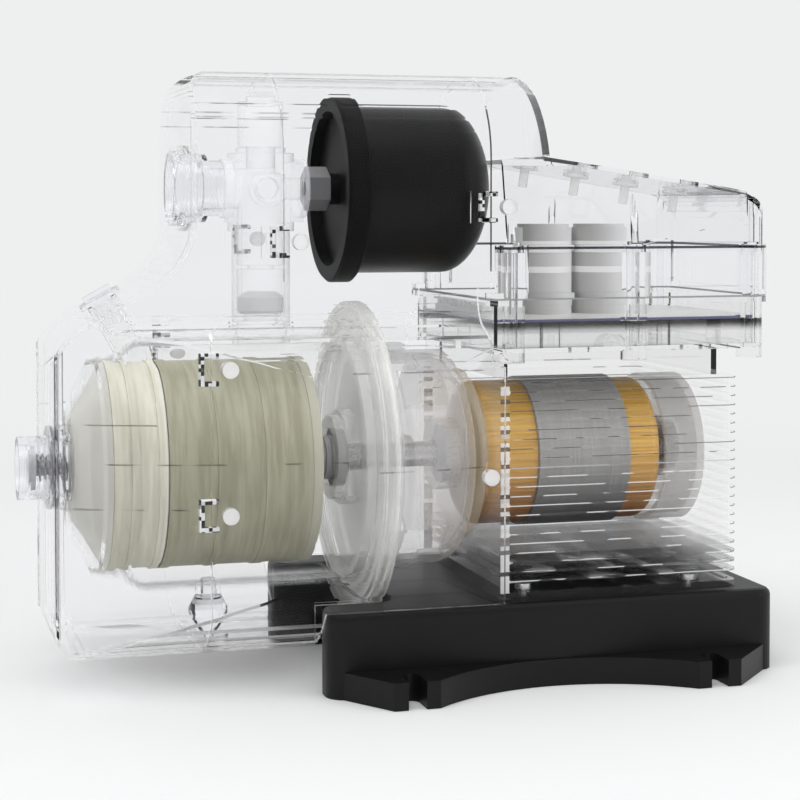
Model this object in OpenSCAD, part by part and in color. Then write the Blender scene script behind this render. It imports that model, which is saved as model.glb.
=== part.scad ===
// Self-priming booster pump with a see-through casing: multistage pump, wet-end casing,
// bladder tank, finned motor and a sloping control box, all standing on one moulded base.
// +X runs along the shaft from the inlet to the motor, +Z is up, the base stands on Z = 0.

/* [Base] */
// Length of the base block
base_len = 250; // [240:1:260]
// How far the block stands towards the motor from the middle of its four slots
base_shift = 4; // [0:1:6]
// Width of the base block
base_w = 160; // [156:1:170]
// Height of the base block
base_h = 44; // [40:1:46]
// Wall of the hollow base
base_wall = 4; // [3:0.5:6]
// Vertical corner radius of the base
base_corner = 10; // [8:1:14]
// Rounding of the top edge of the base
base_edge = 4; // [3:0.5:5]
// Thickness of the foot flanges
foot_h = 14; // [10:1:18]
// Clearance of the flange in the fork of the base
fork_gap = 5; // [3:0.5:8]
// How far the feet reach beyond the block
foot_reach = 28; // [24:1:34]
// Distance between the two feet of one side
foot_pitch = 165; // [150:1:170]
// Width of a foot at its tip
foot_tip = 24; // [20:1:30]
// Width of the open bolt slots
slot_w = 9.5; // [8:0.5:11]
// Length of the open bolt slots
slot_len = 18; // [14:1:24]

/* [Pump axis] */
// Height of the shaft axis
axis_z = 114; // [112:1:118]
// Height of the tank and outlet axis
port_z = 261; // [259:1:263]

/* [Casing shells] */
// Distance from the middle of the foot slots to the nose
nose = 258; // [254:1:264]
// Wall of the casing shells
shell_t = 3; // [2:0.5:4]
// Room between the pressure casing and the widest part of the shells
body_gap = 18.5; // [16:0.5:20]
// How much narrower the casing is just behind the nose
nose_taper = 64; // [56:1:70]
// Distance of the greatest width from the middle of the foot slots
widest = 91; // [85:1:97]
// Width of the rear end of the casing
tail_w = 156; // [150:1:162]
// Lowest point of the casing
belly_z = 19; // [16:1:22]
// Rounding of the belly seen along the shaft
belly_r = 60; // [50:1:64]
// Distance from the middle of the foot slots to the front of the tower
tower_front = 186; // [183:1:189]
// Width of the tower
tower_w = 112; // [110:1:118]
// Top of the tower
tower_top = 323; // [320:1:330]
// Rounding of the tower's top seen along the shaft
arch_r = 46; // [40:1:50]
// Distance from the middle of the foot slots to the rear of the casing
casing_rear = 26.5; // [26:0.5:28]
// Distance of the lower parting line from the middle of the slots
part_low = 181; // [176:1:184]
// Distance of the tower's parting line from the middle of the slots
part_high = 139; // [136:1:144]
// Height of the step between the two parting lines
part_step_z = 190; // [186:1:194]
// Width of the joint between the shells
joint = 0.3; // [0.2:0.1:0.6]

/* [Inlet and suction] */
// Outer diameter of the inlet thread
inlet_d = 33.25; // [32:0.25:34]
// Length of the threaded stub in front of the nose
inlet_reach = 12; // [10:1:16]
// Bore of the inlet
inlet_bore = 25; // [24:0.5:26]
// Opening of the check valve seat
valve_seat_d = 19; // [17:0.5:20]
// Travel of the check valve
valve_travel = 5; // [3:0.5:6]

/* [Hydraulics] */
// Outer diameter of the stage sleeve
sleeve_d = 111; // [109:1:113]
// Length of the stage sleeve
sleeve_len = 80; // [78:1:82]
// Wall of the stage sleeve
sleeve_t = 2.5; // [2:0.5:3]
// Length of the first stage bowl
bowl_len = 28; // [26:1:30]
// Length of the suction cone
cone_len = 16; // [14:1:18]
// Water gap between the stage sleeve and the pressure casing
water_gap = 10; // [8:0.5:12]
// Wall of the pressure casing
casing_t = 3; // [2.5:0.5:4]
// Outer diameter of the impellers
impeller_d = 88; // [84:1:92]
// Width of an impeller over both shrouds
impeller_w = 11; // [9:0.5:12]
// Blades on each impeller
blades = 6; // [5:1:7]
// Vanes on each diffuser
vanes = 8; // [6:1:9]
// Diameter of the shaft
shaft_d = 14; // [12:1:15]
// Gap between the large flange and the shells
flange_gap = 1.5; // [1:0.25:3]
// Thickness of the large flange
flange_t = 8; // [7:1:9]

/* [Motor] */
// Outer diameter of the stator stack
stack_d = 84; // [80:1:84]
// Length of the stator stack
stack_len = 53; // [50:1:54]
// Outer diameter of the windings
winding_d = 80; // [76:1:82]
// Length of the front winding
winding_front_len = 31; // [28:1:31]
// Length of the rear winding
winding_rear_len = 20; // [18:1:21]
// Bore of the stator
stator_bore = 50; // [48:1:54]
// Air gap between rotor and stator
air_gap = 0.5; // [0.4:0.1:1]
// Length of the motor housing
housing_len = 137; // [136:0.5:140]
// Width of the motor housing over its fins
housing_w = 140; // [136:1:144]
// Top of the motor housing
housing_top = 159.5; // [158.5:0.5:160]
// Wall round the stator
housing_t = 3; // [2.5:0.5:4]
// Pitch of the cooling fins
fin_pitch = 5; // [4.5:0.25:6]
// Thickness of a cooling fin
fin_t = 1.4; // [1:0.2:2]

/* [Tank and valve block] */
// Gap between the tank collar and the tower's walls
collar_gap = 2; // [1:0.5:4]
// Width of the tank collar
collar_len = 12; // [10:1:14]
// How far the collar stands out from the tank body
collar_step = 5; // [4:0.5:6]
// Length of the tank's straight wall
tank_len = 52; // [50:1:54]
// Depth of the tank's dome
dome = 25; // [22:1:26]
// Length of the nut between block and tank
nut_len = 12.5; // [11:0.5:14]
// Length of the valve block
block_len = 46; // [44:1:48]
// Height of the valve block
block_h = 42; // [40:1:44]
// Width of the valve block
block_w = 34; // [32:1:38]
// Outer diameter of the riser pipe
riser_d = 31.5; // [30:0.5:33]
// Wall of the riser pipe
riser_t = 2.6; // [2:0.2:3]
// Travel of the flow piston
flow_travel = 12; // [8:1:14]
// Thread bore of the outlet
outlet_d = 30.3; // [29.5:0.1:31]
// Outer diameter of the outlet ring
outlet_ring_d = 40; // [39:1:42]

/* [Control box] */
// Distance from the middle of the foot slots to the front of the tray
tray_front = 33; // [31:1:35]
// Length of the control box
box_len = 166; // [162:1:170]
// Width of the control box at its front
box_w = 146; // [142:1:150]
// Width of the control box at its rear
box_tail_w = 132; // [128:1:140]
// Height of the floor of the tray
tray_z = 174; // [173:1:176]
// Height of the flange between tray and cover
flange_z = 203; // [201:1:205]
// Height of the cover's rim
rim_z = 231; // [228:1:234]
// Highest point of the cover
hood_z = 278; // [275:1:281]
// Height of the cover at the end of its slope
hood_end_z = 261; // [256:1:264]
// Wall of the tray and cover
box_t = 2.5; // [2:0.5:3]
// Diameter of the screw towers
screw_tower_d = 18; // [16:1:20]
// Height of the circuit board
pcb_z = 190; // [189:1:191]
// Diameter of the capacitors
cap_d = 32; // [28:1:33]
// Height of the capacitors
cap_h = 50; // [44:1:52]
// Diameter of the push buttons
button_d = 11; // [9:1:12]
// Travel of the push buttons
button_travel = 1; // [0.8:0.1:1.5]

/* [Fits] */
// Gap between still parts that nest
fit = 0.2; // [0.15:0.05:0.3]
// Gap between moving parts
run = 0.35; // [0.3:0.05:0.5]

/* [Hidden] */
$fn = 64;
eps = 0.01;
// Diameters and widths that follow from what nests inside
casing_d = sleeve_d + 2 * (water_gap + casing_t);
body_w = casing_d + 2 * (body_gap + shell_t);
nose_w = body_w - nose_taper;
flange_d = body_w - 2 * (shell_t + flange_gap);
collar_d = tower_w - 2 * (shell_t + collar_gap);
tank_d = collar_d - 2 * collar_step;
// Stations along the shaft, measured from the middle of the foot slots
nose_x = -nose;
tower_x = -tower_front;
rear_x = -casing_rear;
base_left = base_shift - base_len / 2;
base_right = base_left + base_len;
hem_z = base_h + joint;
flange_front = -widest - 1;
flange_back = flange_front + flange_t;
// The front end of the base is a fork that clears the foot of the flange
fork_half = sqrt(pow(flange_d / 2, 2) - pow(axis_z - base_h, 2)) + fork_gap;
fork_end = flange_back + fork_gap + 1;
seal_boss = 10;
seal_room = 16;
sleeve_rear = flange_front - seal_boss - seal_room;
sleeve_front = sleeve_rear - sleeve_len;
bowl_front = sleeve_front - bowl_len;
cone_front = bowl_front - cone_len;
neck_front = nose_x + shell_t + 5.3;
adapter_rear = cone_front - joint;
motor_x = rear_x + joint;
motor_rear = motor_x + housing_len;
stack_x = motor_x + winding_front_len + 1.5;
stack_end = stack_x + stack_len;
shield_x = stack_end + winding_rear_len + 1.5;
// Stations of the tower
riser_x = -part_high - 0.5;
block_x0 = riser_x - block_len / 2 + 1;
block_x1 = block_x0 + block_len;
collar_x = block_x1 + nut_len + joint;
tank_x = collar_x + collar_len;
riser_z0 = axis_z + casing_d / 2 + 3.5;
block_z0 = port_z - block_h / 2 - 2;
block_z1 = block_z0 + block_h;
// Stations of the control box
box_x0 = -tray_front;
box_x1 = box_x0 + box_len;
cover_x0 = rear_x + 3.5;
hood_knee_x = cover_x0 + 26;
hood_slope = atan((hood_z - hood_end_z) / (box_x1 - 20 - hood_knee_x));

// ---------- small helpers ----------
function arc(cx, cy, r, a0, a1, n = 8) =
  [for (i = [0:n]) let (a = a0 + (a1 - a0) * i / n) [cx + r * cos(a), cy + r * sin(a)]];
// Adds the mirror image of an outline's half: across Y, or across X for one drawn in [y, z]
function mirrored(h) = concat(h, [for (i = [len(h) - 1:-1:0]) [h[i][0], -h[i][1]]]);
function both_halves(h) = concat(h, [for (i = [len(h) - 1:-1:0]) [-h[i][0], h[i][1]]]);

// Extrudes an outline drawn in X and Z, centred across the width
module across(pts, w) { rotate([90, 0, 0]) linear_extrude(w, center = true) polygon(pts); }
// Extrudes an outline drawn in Y and Z from x0 to x1
module along(pts, x0, x1) {
  translate([x0, 0, 0]) rotate([90, 0, 90]) linear_extrude(x1 - x0) polygon(pts);
}
// Cylinder on an axis along X
module rod(r, x0, x1, z = axis_z, y = 0) {
  translate([x0, y, z]) rotate([0, 90, 0]) cylinder(r = r, h = x1 - x0);
}
module tube(r, bore, x0, x1, z = axis_z) {
  difference() {
    rod(r, x0, x1, z);
    rod(bore, x0 - 1, x1 + 1, z);
  }
}
// Turns an outline of [x, radius] points about the axis at height z
module turned(pts, z = axis_z) {
  translate([0, 0, z]) rotate([0, 90, 0]) rotate_extrude() polygon([for (p = pts) [p[1], p[0]]]);
}
// Cylinder on an axis along Y
module pin_y(r, x, y0, y1, z) { translate([x, y0, z]) rotate([-90, 0, 0]) cylinder(r = r, h = y1 - y0); }
module box(x0, x1, y0, y1, z0, z1) { translate([x0, y0, z0]) cube([x1 - x0, y1 - y0, z1 - z0]); }
module both_sides() { children(); mirror([0, 1, 0]) children(); }

// ---------- outlines of the casing ----------
shoulder_a = 29;
nose_r = 35;
throat_r = 40;
brow_r = 16;
throat_z = 246;
slope_x0 = tower_x - throat_r * (1 - sin(shoulder_a));
slope_z0 = throat_z - throat_r * cos(shoulder_a);
side_nose_x = nose_x - 0.6;
slope_x1 = side_nose_x + nose_r * (1 - sin(shoulder_a));
slope_z1 = slope_z0 - (slope_x0 - slope_x1) * tan(shoulder_a);
nose_z = slope_z1 - nose_r * cos(shoulder_a);
chin_r = 25;
front_wall_x = base_left - 1.5;

// The casing seen from the side, drawn d inside its surface
function side_profile(d, open_x, floor_steps) = concat(
  [[open_x, tower_top - d]],
  arc(tower_x + brow_r, tower_top - brow_r, brow_r - d, 90, 180),
  arc(tower_x - throat_r, throat_z, throat_r + d, 0, shoulder_a - 90),
  arc(side_nose_x + nose_r, nose_z, nose_r - d, 90 + shoulder_a, 180),
  arc(side_nose_x + chin_r, belly_z + chin_r, chin_r - d, 180, 270),
  floor_steps
);
keel_end = flange_front - 5 * joint;
outer_floor = [[front_wall_x, belly_z], [front_wall_x, hem_z], [rear_x, hem_z]];
inner_floor = [
  [front_wall_x + 0.5, belly_z + shell_t], [front_wall_x + 0.5, hem_z - 0.5],
  [keel_end, hem_z - 0.5], [keel_end, hem_z - 5], [rear_x + 5, hem_z - 5]
];
// The trough of the belly that runs on into the fork, drawn d inside its surface
module keel(d) {
  half = fork_half - 1 - d;
  box(front_wall_x - shell_t - 1, keel_end - d, -half, half, belly_z + d, hem_z + 1);
}
// Half width of the casing at a station, as two wide arcs that meet at the widest place
side_run = nose - 12 - widest;
side_sag = (body_w - nose_w) / 2;
side_arc = (side_run * side_run + side_sag * side_sag) / (2 * side_sag);
tail_run = widest - casing_rear;
tail_sag = (body_w - tail_w) / 2;
tail_arc = (tail_run * tail_run + tail_sag * tail_sag) / (2 * tail_sag);
function half_w(x) = let (r = x < -widest ? side_arc : tail_arc, u = x + widest)
  body_w / 2 - r + sqrt(r * r - u * u);
bow_w = nose_w / 2 - 14;
bow = 2.5;
function plan_half(d) = concat(
  [for (i = [0:5]) [nose_x + d + bow * i * i / 25, (bow_w - d) * i / 5]],
  [for (t = [0.25:0.25:0.75])
    [nose_x + d + bow * (1 - t) * (1 - t) + 3 * t * (1 - t) + 12 * t * t,
      -d + bow_w * (1 - t) * (1 - t) + 2 * (bow_w + 11) * t * (1 - t) + nose_w / 2 * t * t]],
  [for (i = [0:8]) let (x = nose_x + 12 + side_run * i / 8) [x + (i == 0 ? d : 0), half_w(x) - d]],
  [for (i = [1:5]) let (x = -widest + (tail_run + 6) * i / 5) [x, half_w(min(x, rear_x)) - d]]
);
module plan(d) {
  half = plan_half(d);
  linear_extrude(tower_top + 20)
    polygon(concat(half, [for (i = [len(half) - 1:-1:1]) [half[i][0], -half[i][1]]]));
}
// The casing seen along the shaft: round belly, shoulders, narrow tower with a rounded top
gown_w = body_w / 2 + 1;
neck_r = 20;
function section_half(d) = concat(
  arc(gown_w - belly_r, belly_z + belly_r, belly_r - d, -90, 0, 10),
  arc(gown_w - 45, 150, 45 - d, 0, 50, 6),
  arc(tower_w / 2 + neck_r, 205, neck_r + d, 230, 180, 4),
  arc(tower_w / 2 - arch_r, tower_top - arch_r, arch_r - d, 0, 90, 10)
);
module section(d, x0, x1) { along(both_halves(section_half(d)), x0, x1); }

module casing_solid() {
  intersection() {
    union() {
      across(side_profile(0, rear_x, outer_floor), body_w + 20);
      keel(0);
    }
    plan(0);
    section(0, nose_x - 10, rear_x + 10);
  }
}
module casing_room() {
  intersection() {
    union() {
      across(side_profile(shell_t, rear_x + 5, inner_floor), body_w + 20);
      keel(shell_t);
    }
    plan(shell_t);
    section(shell_t, nose_x - 10, rear_x + 10);
  }
}
// Everything in front of the stepped parting line, moved back by a gap
module in_front(gap) {
  r = 10;
  hi = -part_high - gap;
  lo = -part_low - gap;
  across(concat(
    [[hi, tower_top + 20]], arc(hi - r, part_step_z + r, r, 0, -90, 5),
    arc(lo + r, part_step_z - r, r, 90, 180, 5),
    [[lo, -10], [nose_x - 40, -10], [nose_x - 40, tower_top + 20]]
  ), body_w + 30);
}
// Holes that the fittings pass through
collar_rim = 5.4;
fill_at = 0.45;
fill_x = slope_x1 + fill_at * (slope_x0 - slope_x1);
fill_z = slope_z1 + fill_at * (slope_z0 - slope_z1);
fill_head_d = 23;
drain_x = -169;
drain_d = 21;
module fill_frame() { translate([fill_x, 0, fill_z]) rotate([0, -shoulder_a, 0]) children(); }
module casing_holes() {
  rod(inlet_d / 2 + 1, nose_x - 20, nose_x + 15);
  rod(inlet_d / 2 + collar_rim + joint, nose_x + shell_t, nose_x + 15);
  rod(outlet_ring_d / 2 + joint, tower_x - 10, tower_x + 12, port_z);
  fill_frame() translate([0, 0, -20]) cylinder(d = fill_head_d - 6 + 2 * run, h = 40);
  translate([drain_x, 0, 0]) cylinder(d = drain_d + 2 * run, h = belly_z + 15);
}
// Snap sockets beside the joints: [station, height], on both sides of the casing
sockets = [[-part_high, 233], [-part_low, 170], [-part_low, 97]];
tail_sockets = [[rear_x, 251], [rear_x, 111]];
plug_r = 4.2;
plug_back = 9;
// Pins: [station, height], behind each socket, in the hood and in the lower tail socket
pins = [for (p = sockets) [p[0] + plug_back, p[1]], [rear_x + 7.5, 251], [rear_x - 8.5, 111]];
function wall_y(x, z) = z > 205 ? tower_w / 2 : half_w(x);
function wall_a(x, z) = z > 205 ? 0
  : let (r = x < -widest ? side_arc : tail_arc, u = x + widest) atan(-u / sqrt(r * r - u * u));
// A U-shaped socket that stands on the wall in front of a joint
module socket(x, z) {
  both_sides() translate([x - 6.5, wall_y(x - 6.5, z), z]) rotate([0, 0, wall_a(x - 6.5, z)])
    difference() {
      translate([-5.5, -shell_t + 0.5, -8.5]) cube([11, shell_t + 1, 17]);
      translate([-3, -1, -5]) cube([9.5, 4, 10]);
    }
}
module plug_holes() {
  both_sides() for (p = pins) pin_y(plug_r + fit, p[0], wall_y(p[0], p[1]) - 9, body_w / 2 + 9, p[1]);
}

// ---------- base ----------
cavity_h = base_h - base_wall;
screw_xs = [motor_x + 16, motor_rear - 26];
screw_y = housing_w / 2 - 9;
module slot_at(x) {
  tip = base_w / 2 + foot_reach;
  translate([x - slot_w / 2, tip - slot_len + slot_w / 2, -1]) cube([slot_w, slot_len + 5, foot_h + 2]);
  translate([x, tip - slot_len + slot_w / 2, -1]) cylinder(d = slot_w, h = foot_h + 2);
}
module feet() {
  tip = base_w / 2 + foot_reach;
  mid = foot_pitch / 2 - foot_tip / 2;
  sag = foot_reach - 1.5;
  arch = (mid * mid + sag * sag) / (2 * sag);
  side = base_w / 2 - base_wall;
  heel = base_corner * 0.7;
  both_sides() difference() {
    linear_extrude(foot_h) difference() {
      polygon([
        [base_left + base_corner, side], [base_left + heel, base_w / 2 - 1],
        [-foot_pitch / 2 - foot_tip / 2, tip], [foot_pitch / 2 + foot_tip / 2, tip],
        [base_right - heel, base_w / 2 - 1], [base_right - base_corner, side]
      ]);
      translate([0, tip - sag + arch]) circle(arch, $fn = 180);
    }
    for (s = [-1, 1]) slot_at(s * foot_pitch / 2);
  }
}
module rounded_block() {
  hull() for (x = [base_left + base_corner, base_right - base_corner], y = [-1, 1])
    translate([x, y * (base_w / 2 - base_corner), 0]) {
      cylinder(r = base_corner, h = base_h - base_edge, $fn = 32);
      for (a = [30:30:90]) translate([0, 0, base_h - base_edge])
        cylinder(r = base_corner - base_edge * (1 - cos(a)), h = base_edge * sin(a), $fn = 32);
    }
}
// The opening between the tines of the fork, with rounded tips and inner corners, drawn d larger
module fork(d, z0) {
  tip_r = (base_w / 2 - fork_half) * 0.42;
  root_r = 12;
  translate([0, 0, z0]) linear_extrude(base_h + 2) polygon(mirrored(concat(
    [[base_left - 1, fork_half + tip_r + d]],
    arc(base_left + tip_r, fork_half + tip_r, tip_r - d, 180, 270, 6),
    arc(fork_end - root_r, fork_half - root_r, root_r + d, 90, 0, 6)
  )));
}
module base() {
  color("#161616") difference() {
    union() {
      rounded_block();
      feet();
    }
    difference() {
      box(base_left + base_wall, base_right - base_wall, -base_w / 2 + base_wall,
        base_w / 2 - base_wall, -1, cavity_h);
      fork(base_wall, -2);
      for (x = [base_left, 0, base_right] * 0.6)
        box(x - base_wall / 2, x + base_wall / 2, -base_w / 2, base_w / 2, -2, base_h - 1);
      box(base_left, base_right, -base_wall / 2, base_wall / 2, -2, base_h - 1);
      both_sides() for (x = screw_xs) translate([x, screw_y, -2]) cylinder(d = 12, h = base_h);
    }
    fork(0, -1);
    both_sides() for (x = screw_xs) translate([x, screw_y, 8]) cylinder(r = 2.2, h = base_h);
  }
}
skirt_t = 4;
module base_screws() {
  color("silver") both_sides() for (x = screw_xs) {
    translate([x, screw_y, 14]) cylinder(r = 2, h = base_h + skirt_t - 14 + joint + eps);
    translate([x, screw_y, base_h + skirt_t + joint]) cylinder(r = 4.5, h = 3);
  }
}

// ---------- casing ----------
module front_cover() {
  color([0.86, 0.88, 0.92, 0.3]) difference() {
    union() {
      intersection() {
        difference() {
          casing_solid();
          casing_room();
        }
        in_front(joint / 2);
      }
      for (p = sockets) socket(p[0], p[1]);
    }
    casing_holes();
  }
}
leg_z = flange_z - 34;
module rear_cover() {
  color([0.86, 0.88, 0.92, 0.3]) difference() {
    union() {
      difference() {
        casing_solid();
        casing_room();
        in_front(-joint / 2);
      }
      for (p = tail_sockets) socket(p[0], p[1]);
    }
    casing_holes();
    plug_holes();
    box(box_x0 - 1, rear_x + 5, -body_w, body_w, leg_z - 1, flange_z + 5);
  }
}
module tower_cap() {
  x0 = rear_x + joint;
  x1 = hood_knee_x + 3;
  color([0.86, 0.88, 0.92, 0.3]) difference() {
    intersection() {
      section(0, x0, x1);
      across([[x0, hood_z + joint], [x0, tower_top + 5], [x1 - 7, tower_top + 5], [x1 - 3, tower_top - 12],
        [x1, hood_z + joint]], body_w);
    }
    intersection() {
      section(shell_t, x0 - 1, x1);
      across([[x0 - 1, hood_z - 1], [x0 - 1, tower_top + 5], [x1 - 7 - shell_t, tower_top + 5],
        [x1 - 3 - shell_t, tower_top - 12], [x1 - shell_t, hood_z - 1]], body_w);
    }
  }
}
module cover_screws() {
  color([0.9, 0.9, 0.9]) both_sides() for (p = pins)
    let (y = p[0] > rear_x ? hood_y(p[1]) : wall_y(p[0], p[1]))
      pin_y(plug_r, p[0], y - shell_t - 1, y + 1.6, p[1]);
}

// ---------- wet end ----------
casing_r = casing_d / 2;
cone_r = sleeve_d / 2 - 0.8;
mouth_r = 27.6;
neck_bore = inlet_d / 2 + fit;
fill_bore = 12.4;
fill_len = 42;
drain_pin_r = 4;
module fill_neck(r, z0, z1) { fill_frame() translate([0, 0, z0]) cylinder(r = r, h = z1 - z0); }
module pump_casing() {
  end = flange_front - joint;
  turn = bowl_front + 23;
  turn_r = 16;
  color([0.85, 0.87, 0.84, 0.35]) difference() {
    union() {
      turned(concat(
        [[end, 0], [end, casing_r]], arc(turn, casing_r - turn_r, turn_r, 90, 150, 5),
        [[bowl_front - 6, cone_r + 4], [cone_front - 5.5, mouth_r + 1.5], [cone_front - 5.5, neck_bore + 3.5],
          [neck_front, neck_bore + 3.5], [neck_front, 0]]
      ));
      translate([riser_x, 0, axis_z]) cylinder(r = riser_d / 2 + 2.5, h = riser_z0 - axis_z);
      fill_neck(fill_head_d / 2 - 3, -fill_len, 0.3);
      translate([drain_x, 0, axis_z - casing_r - 4]) cylinder(r = drain_pin_r + 3, h = 10);
    }
    turned(concat(
      [[end + 1, 0], [end + 1, casing_r - casing_t]],
      arc(turn, casing_r - turn_r, turn_r - casing_t, 90, 150, 5),
      [[bowl_front - 3.5, cone_r + 1.5], [cone_front - 1.5, mouth_r + 1.2], [cone_front - 1.5, 0]]
    ));
    rod(neck_bore, neck_front - 1, cone_front);
    translate([riser_x, 0, axis_z]) cylinder(r = riser_d / 2 - riser_t, h = casing_r + 20);
    fill_neck(fill_bore / 2, -fill_len - 6, 5);
    translate([drain_x, 0, axis_z - casing_r - 10]) cylinder(r = drain_pin_r + run, h = 30);
  }
}
module suction_cone() {
  color("#cfcbbb") difference() {
    turned([[cone_front, 0], [cone_front, mouth_r], [bowl_front - joint, cone_r], [bowl_front - joint, 0]]);
    turned([[cone_front + sleeve_t, 0], [cone_front + sleeve_t, mouth_r - sleeve_t],
      [bowl_front + 1, cone_r - sleeve_t + 1], [bowl_front + 1, 0]]);
    rod(inlet_bore / 2 + 1, cone_front - 1, bowl_front);
  }
}
module first_bowl() {
  r = sleeve_d / 2;
  color("#c9c5b4") difference() {
    union() {
      rod(r - 1, bowl_front, sleeve_front - joint);
      for (x = [bowl_front, bowl_front + 9, sleeve_front - 5]) rod(r, x, x + 4);
    }
    rod(r - sleeve_t - 1, bowl_front - 1, sleeve_front + 1);
  }
}
module stage_sleeve() {
  r = sleeve_d / 2;
  color("#8e8c74") difference() {
    union() {
      rod(r - 0.6, sleeve_front, sleeve_rear);
      for (i = [0:3]) let (x = sleeve_front + i * (sleeve_len - 5) / 3) rod(r, x, x + 5);
    }
    rod(r - sleeve_t - 1, sleeve_front - 1, sleeve_rear + 1);
  }
}
// Inlet stub with its collar, check valve seat and valve chamber
chamber_r = inlet_d / 2 - 2.6;
seat_x = nose_x - 6;
relief = 1.5;
seat_lip = 1.2;
module inlet_adapter() {
  r = inlet_d / 2;
  color([0.78, 0.8, 0.92, 0.5]) difference() {
    union() {
      rod(r, nose_x - inlet_reach, nose_x - relief);
      rod(r - 1, nose_x - relief - 1, nose_x + 1);
      rod(r, nose_x, adapter_rear);
      rod(r + collar_rim, nose_x + shell_t + joint, nose_x + shell_t + 3.3);
    }
    rod(inlet_bore / 2, nose_x - inlet_reach - 1, seat_x - seat_lip);
    rod(valve_seat_d / 2, nose_x - inlet_reach, seat_x + 1);
    rod(chamber_r, seat_x, adapter_rear + 1);
  }
}
module inlet_gasket() {
  color("#303030") tube(inlet_d / 2 + 4, inlet_d / 2 + fit, nose_x + shell_t + 3.3, neck_front);
}
cage_x = adapter_rear - 3;
poppet_face = seat_x + joint;
stem_r = 2.5;
module check_poppet() {
  color("#e4e2da") union() {
    rod(valve_seat_d / 2 + 2.2, poppet_face, poppet_face + 2.5);
    rod(stem_r, poppet_face, cage_x + 2);
    rod(stem_r + 1.8, poppet_face, cage_x - joint - valve_travel);
    rod(valve_seat_d / 2 - 2, poppet_face - 1, poppet_face + 1);
  }
}
spring_r = 7;
wire_r = 0.6;
coils = 5;
function ring_at(t, n) = let (a = 360 * coils * t, x = poppet_face + 2.5 + joint + wire_r
    + t * (cage_x - poppet_face - 2.5 - 2 * joint - 2 * wire_r))
  [for (k = [0:n - 1]) let (b = 360 * k / n, r = spring_r + wire_r * cos(b))
    [x + wire_r * sin(b), r * cos(a), axis_z + r * sin(a)]];
module check_spring() {
  steps = coils * 14;
  n = 6;
  pts = [for (i = [0:steps]) each ring_at(i / steps, n)];
  color("silver") polyhedron(pts, concat(
    [[for (k = [0:n - 1]) k]],
    [for (i = [0:steps - 1], k = [0:n - 1]) let (a = i * n + k, b = i * n + (k + 1) % n) each
      [[a, a + n, b + n], [a, b + n, b]]],
    [[for (k = [n - 1:-1:0]) steps * n + k]]
  ), convexity = 6);
}
module check_cage() {
  color("#d8d6cc") difference() {
    union() {
      tube(chamber_r - fit, chamber_r - 3, cage_x, cage_x + 2.6);
      rod(stem_r + 2.6, cage_x, cage_x + 2.6);
      intersection() {
        for (a = [0, 60, 120]) translate([cage_x, 0, axis_z]) rotate([a, 0, 0])
          translate([0, -chamber_r, -1]) cube([2.6, 2 * chamber_r, 2]);
        rod(chamber_r - 1, cage_x, cage_x + 2.6);
      }
    }
    rod(stem_r + run, cage_x - 1, cage_x + 4);
  }
}

// ---------- stages ----------
stages = 3;
shaft_r = shaft_d / 2;
stage_pitch = (bowl_len + sleeve_len - 6) / stages;
function stage_x(i) = bowl_front + 4 + i * stage_pitch;
hub_r = shaft_r + 4.5;
eye_r = 20;
shroud_t = 1.8;
// Backward-curved blade outline from r0 to r1, turning through sweep degrees
function blade(r0, r1, sweep, t) = concat(
  [for (i = [0:6]) let (r = r0 + (r1 - r0) * i / 6, a = sweep * i / 6) [r * cos(a), r * sin(a)]],
  [for (i = [6:-1:0]) let (r = r0 + (r1 - r0) * i / 6, a = sweep * i / 6 + t / r * 57.3)
    [r * cos(a), r * sin(a)]]
);
module blade_ring(n, r0, r1, sweep, t, x0, x1) {
  translate([x0, 0, axis_z]) rotate([90, 0, 90]) linear_extrude(x1 - x0)
    for (i = [0:n - 1]) rotate(i * 360 / n) polygon(blade(r0, r1, sweep, t));
}
module impeller(x) {
  r = impeller_d / 2;
  color("#b9b49c") difference() {
    union() {
      rod(r, x, x + shroud_t);
      rod(eye_r + 1.6, x - 2, x + shroud_t);
      rod(r, x + impeller_w - shroud_t, x + impeller_w);
      rod(hub_r, x + 2, x + impeller_w);
      blade_ring(blades, hub_r + 4, r - 0.5, -70, 1.6, x + 1, x + impeller_w - 1);
    }
    rod(shaft_r + fit, x - 3, x + impeller_w + 1);
    difference() {
      rod(eye_r, x - 3, x + shroud_t);
      rod(hub_r, x + 2, x + shroud_t + 1);
      blade_ring(blades, hub_r + 4, eye_r + 1, -70 * (eye_r - 3 - hub_r) / (r - 4.5 - hub_r), 1.6,
        x + 1, x + shroud_t + 1);
    }
  }
}
module diffuser(x) {
  r = sleeve_d / 2 - sleeve_t - 1 - fit;
  len = stage_pitch - impeller_w - 5;
  color("#a5a188") difference() {
    union() {
      rod(r, x, x + 2);
      tube(r, r - 2, x, x + len);
      rod(hub_r + 3, x, x + len - 4);
      blade_ring(vanes, hub_r + 2, r - 1, 55, 1.8, x + 1, x + len - 4);
    }
    rod(shaft_r + 2, x - 1, x + len + 1);
    difference() {
      rod(r - 2.5, x - 1, x + 3);
      rod(r - 8, x - 2, x + 3);
      blade_ring(vanes, hub_r + 2, r - 1, 55, 1.8, x - 2, x + 4);
    }
  }
}
module impeller_1() { impeller(stage_x(0)); }
module impeller_2() { impeller(stage_x(1)); }
module impeller_3() { impeller(stage_x(2)); }
module diffuser_1() { diffuser(stage_x(0) + impeller_w + 2); }
module diffuser_2() { diffuser(stage_x(1) + impeller_w + 2); }
module diffuser_3() { diffuser(stage_x(2) + impeller_w + 2); }

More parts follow.
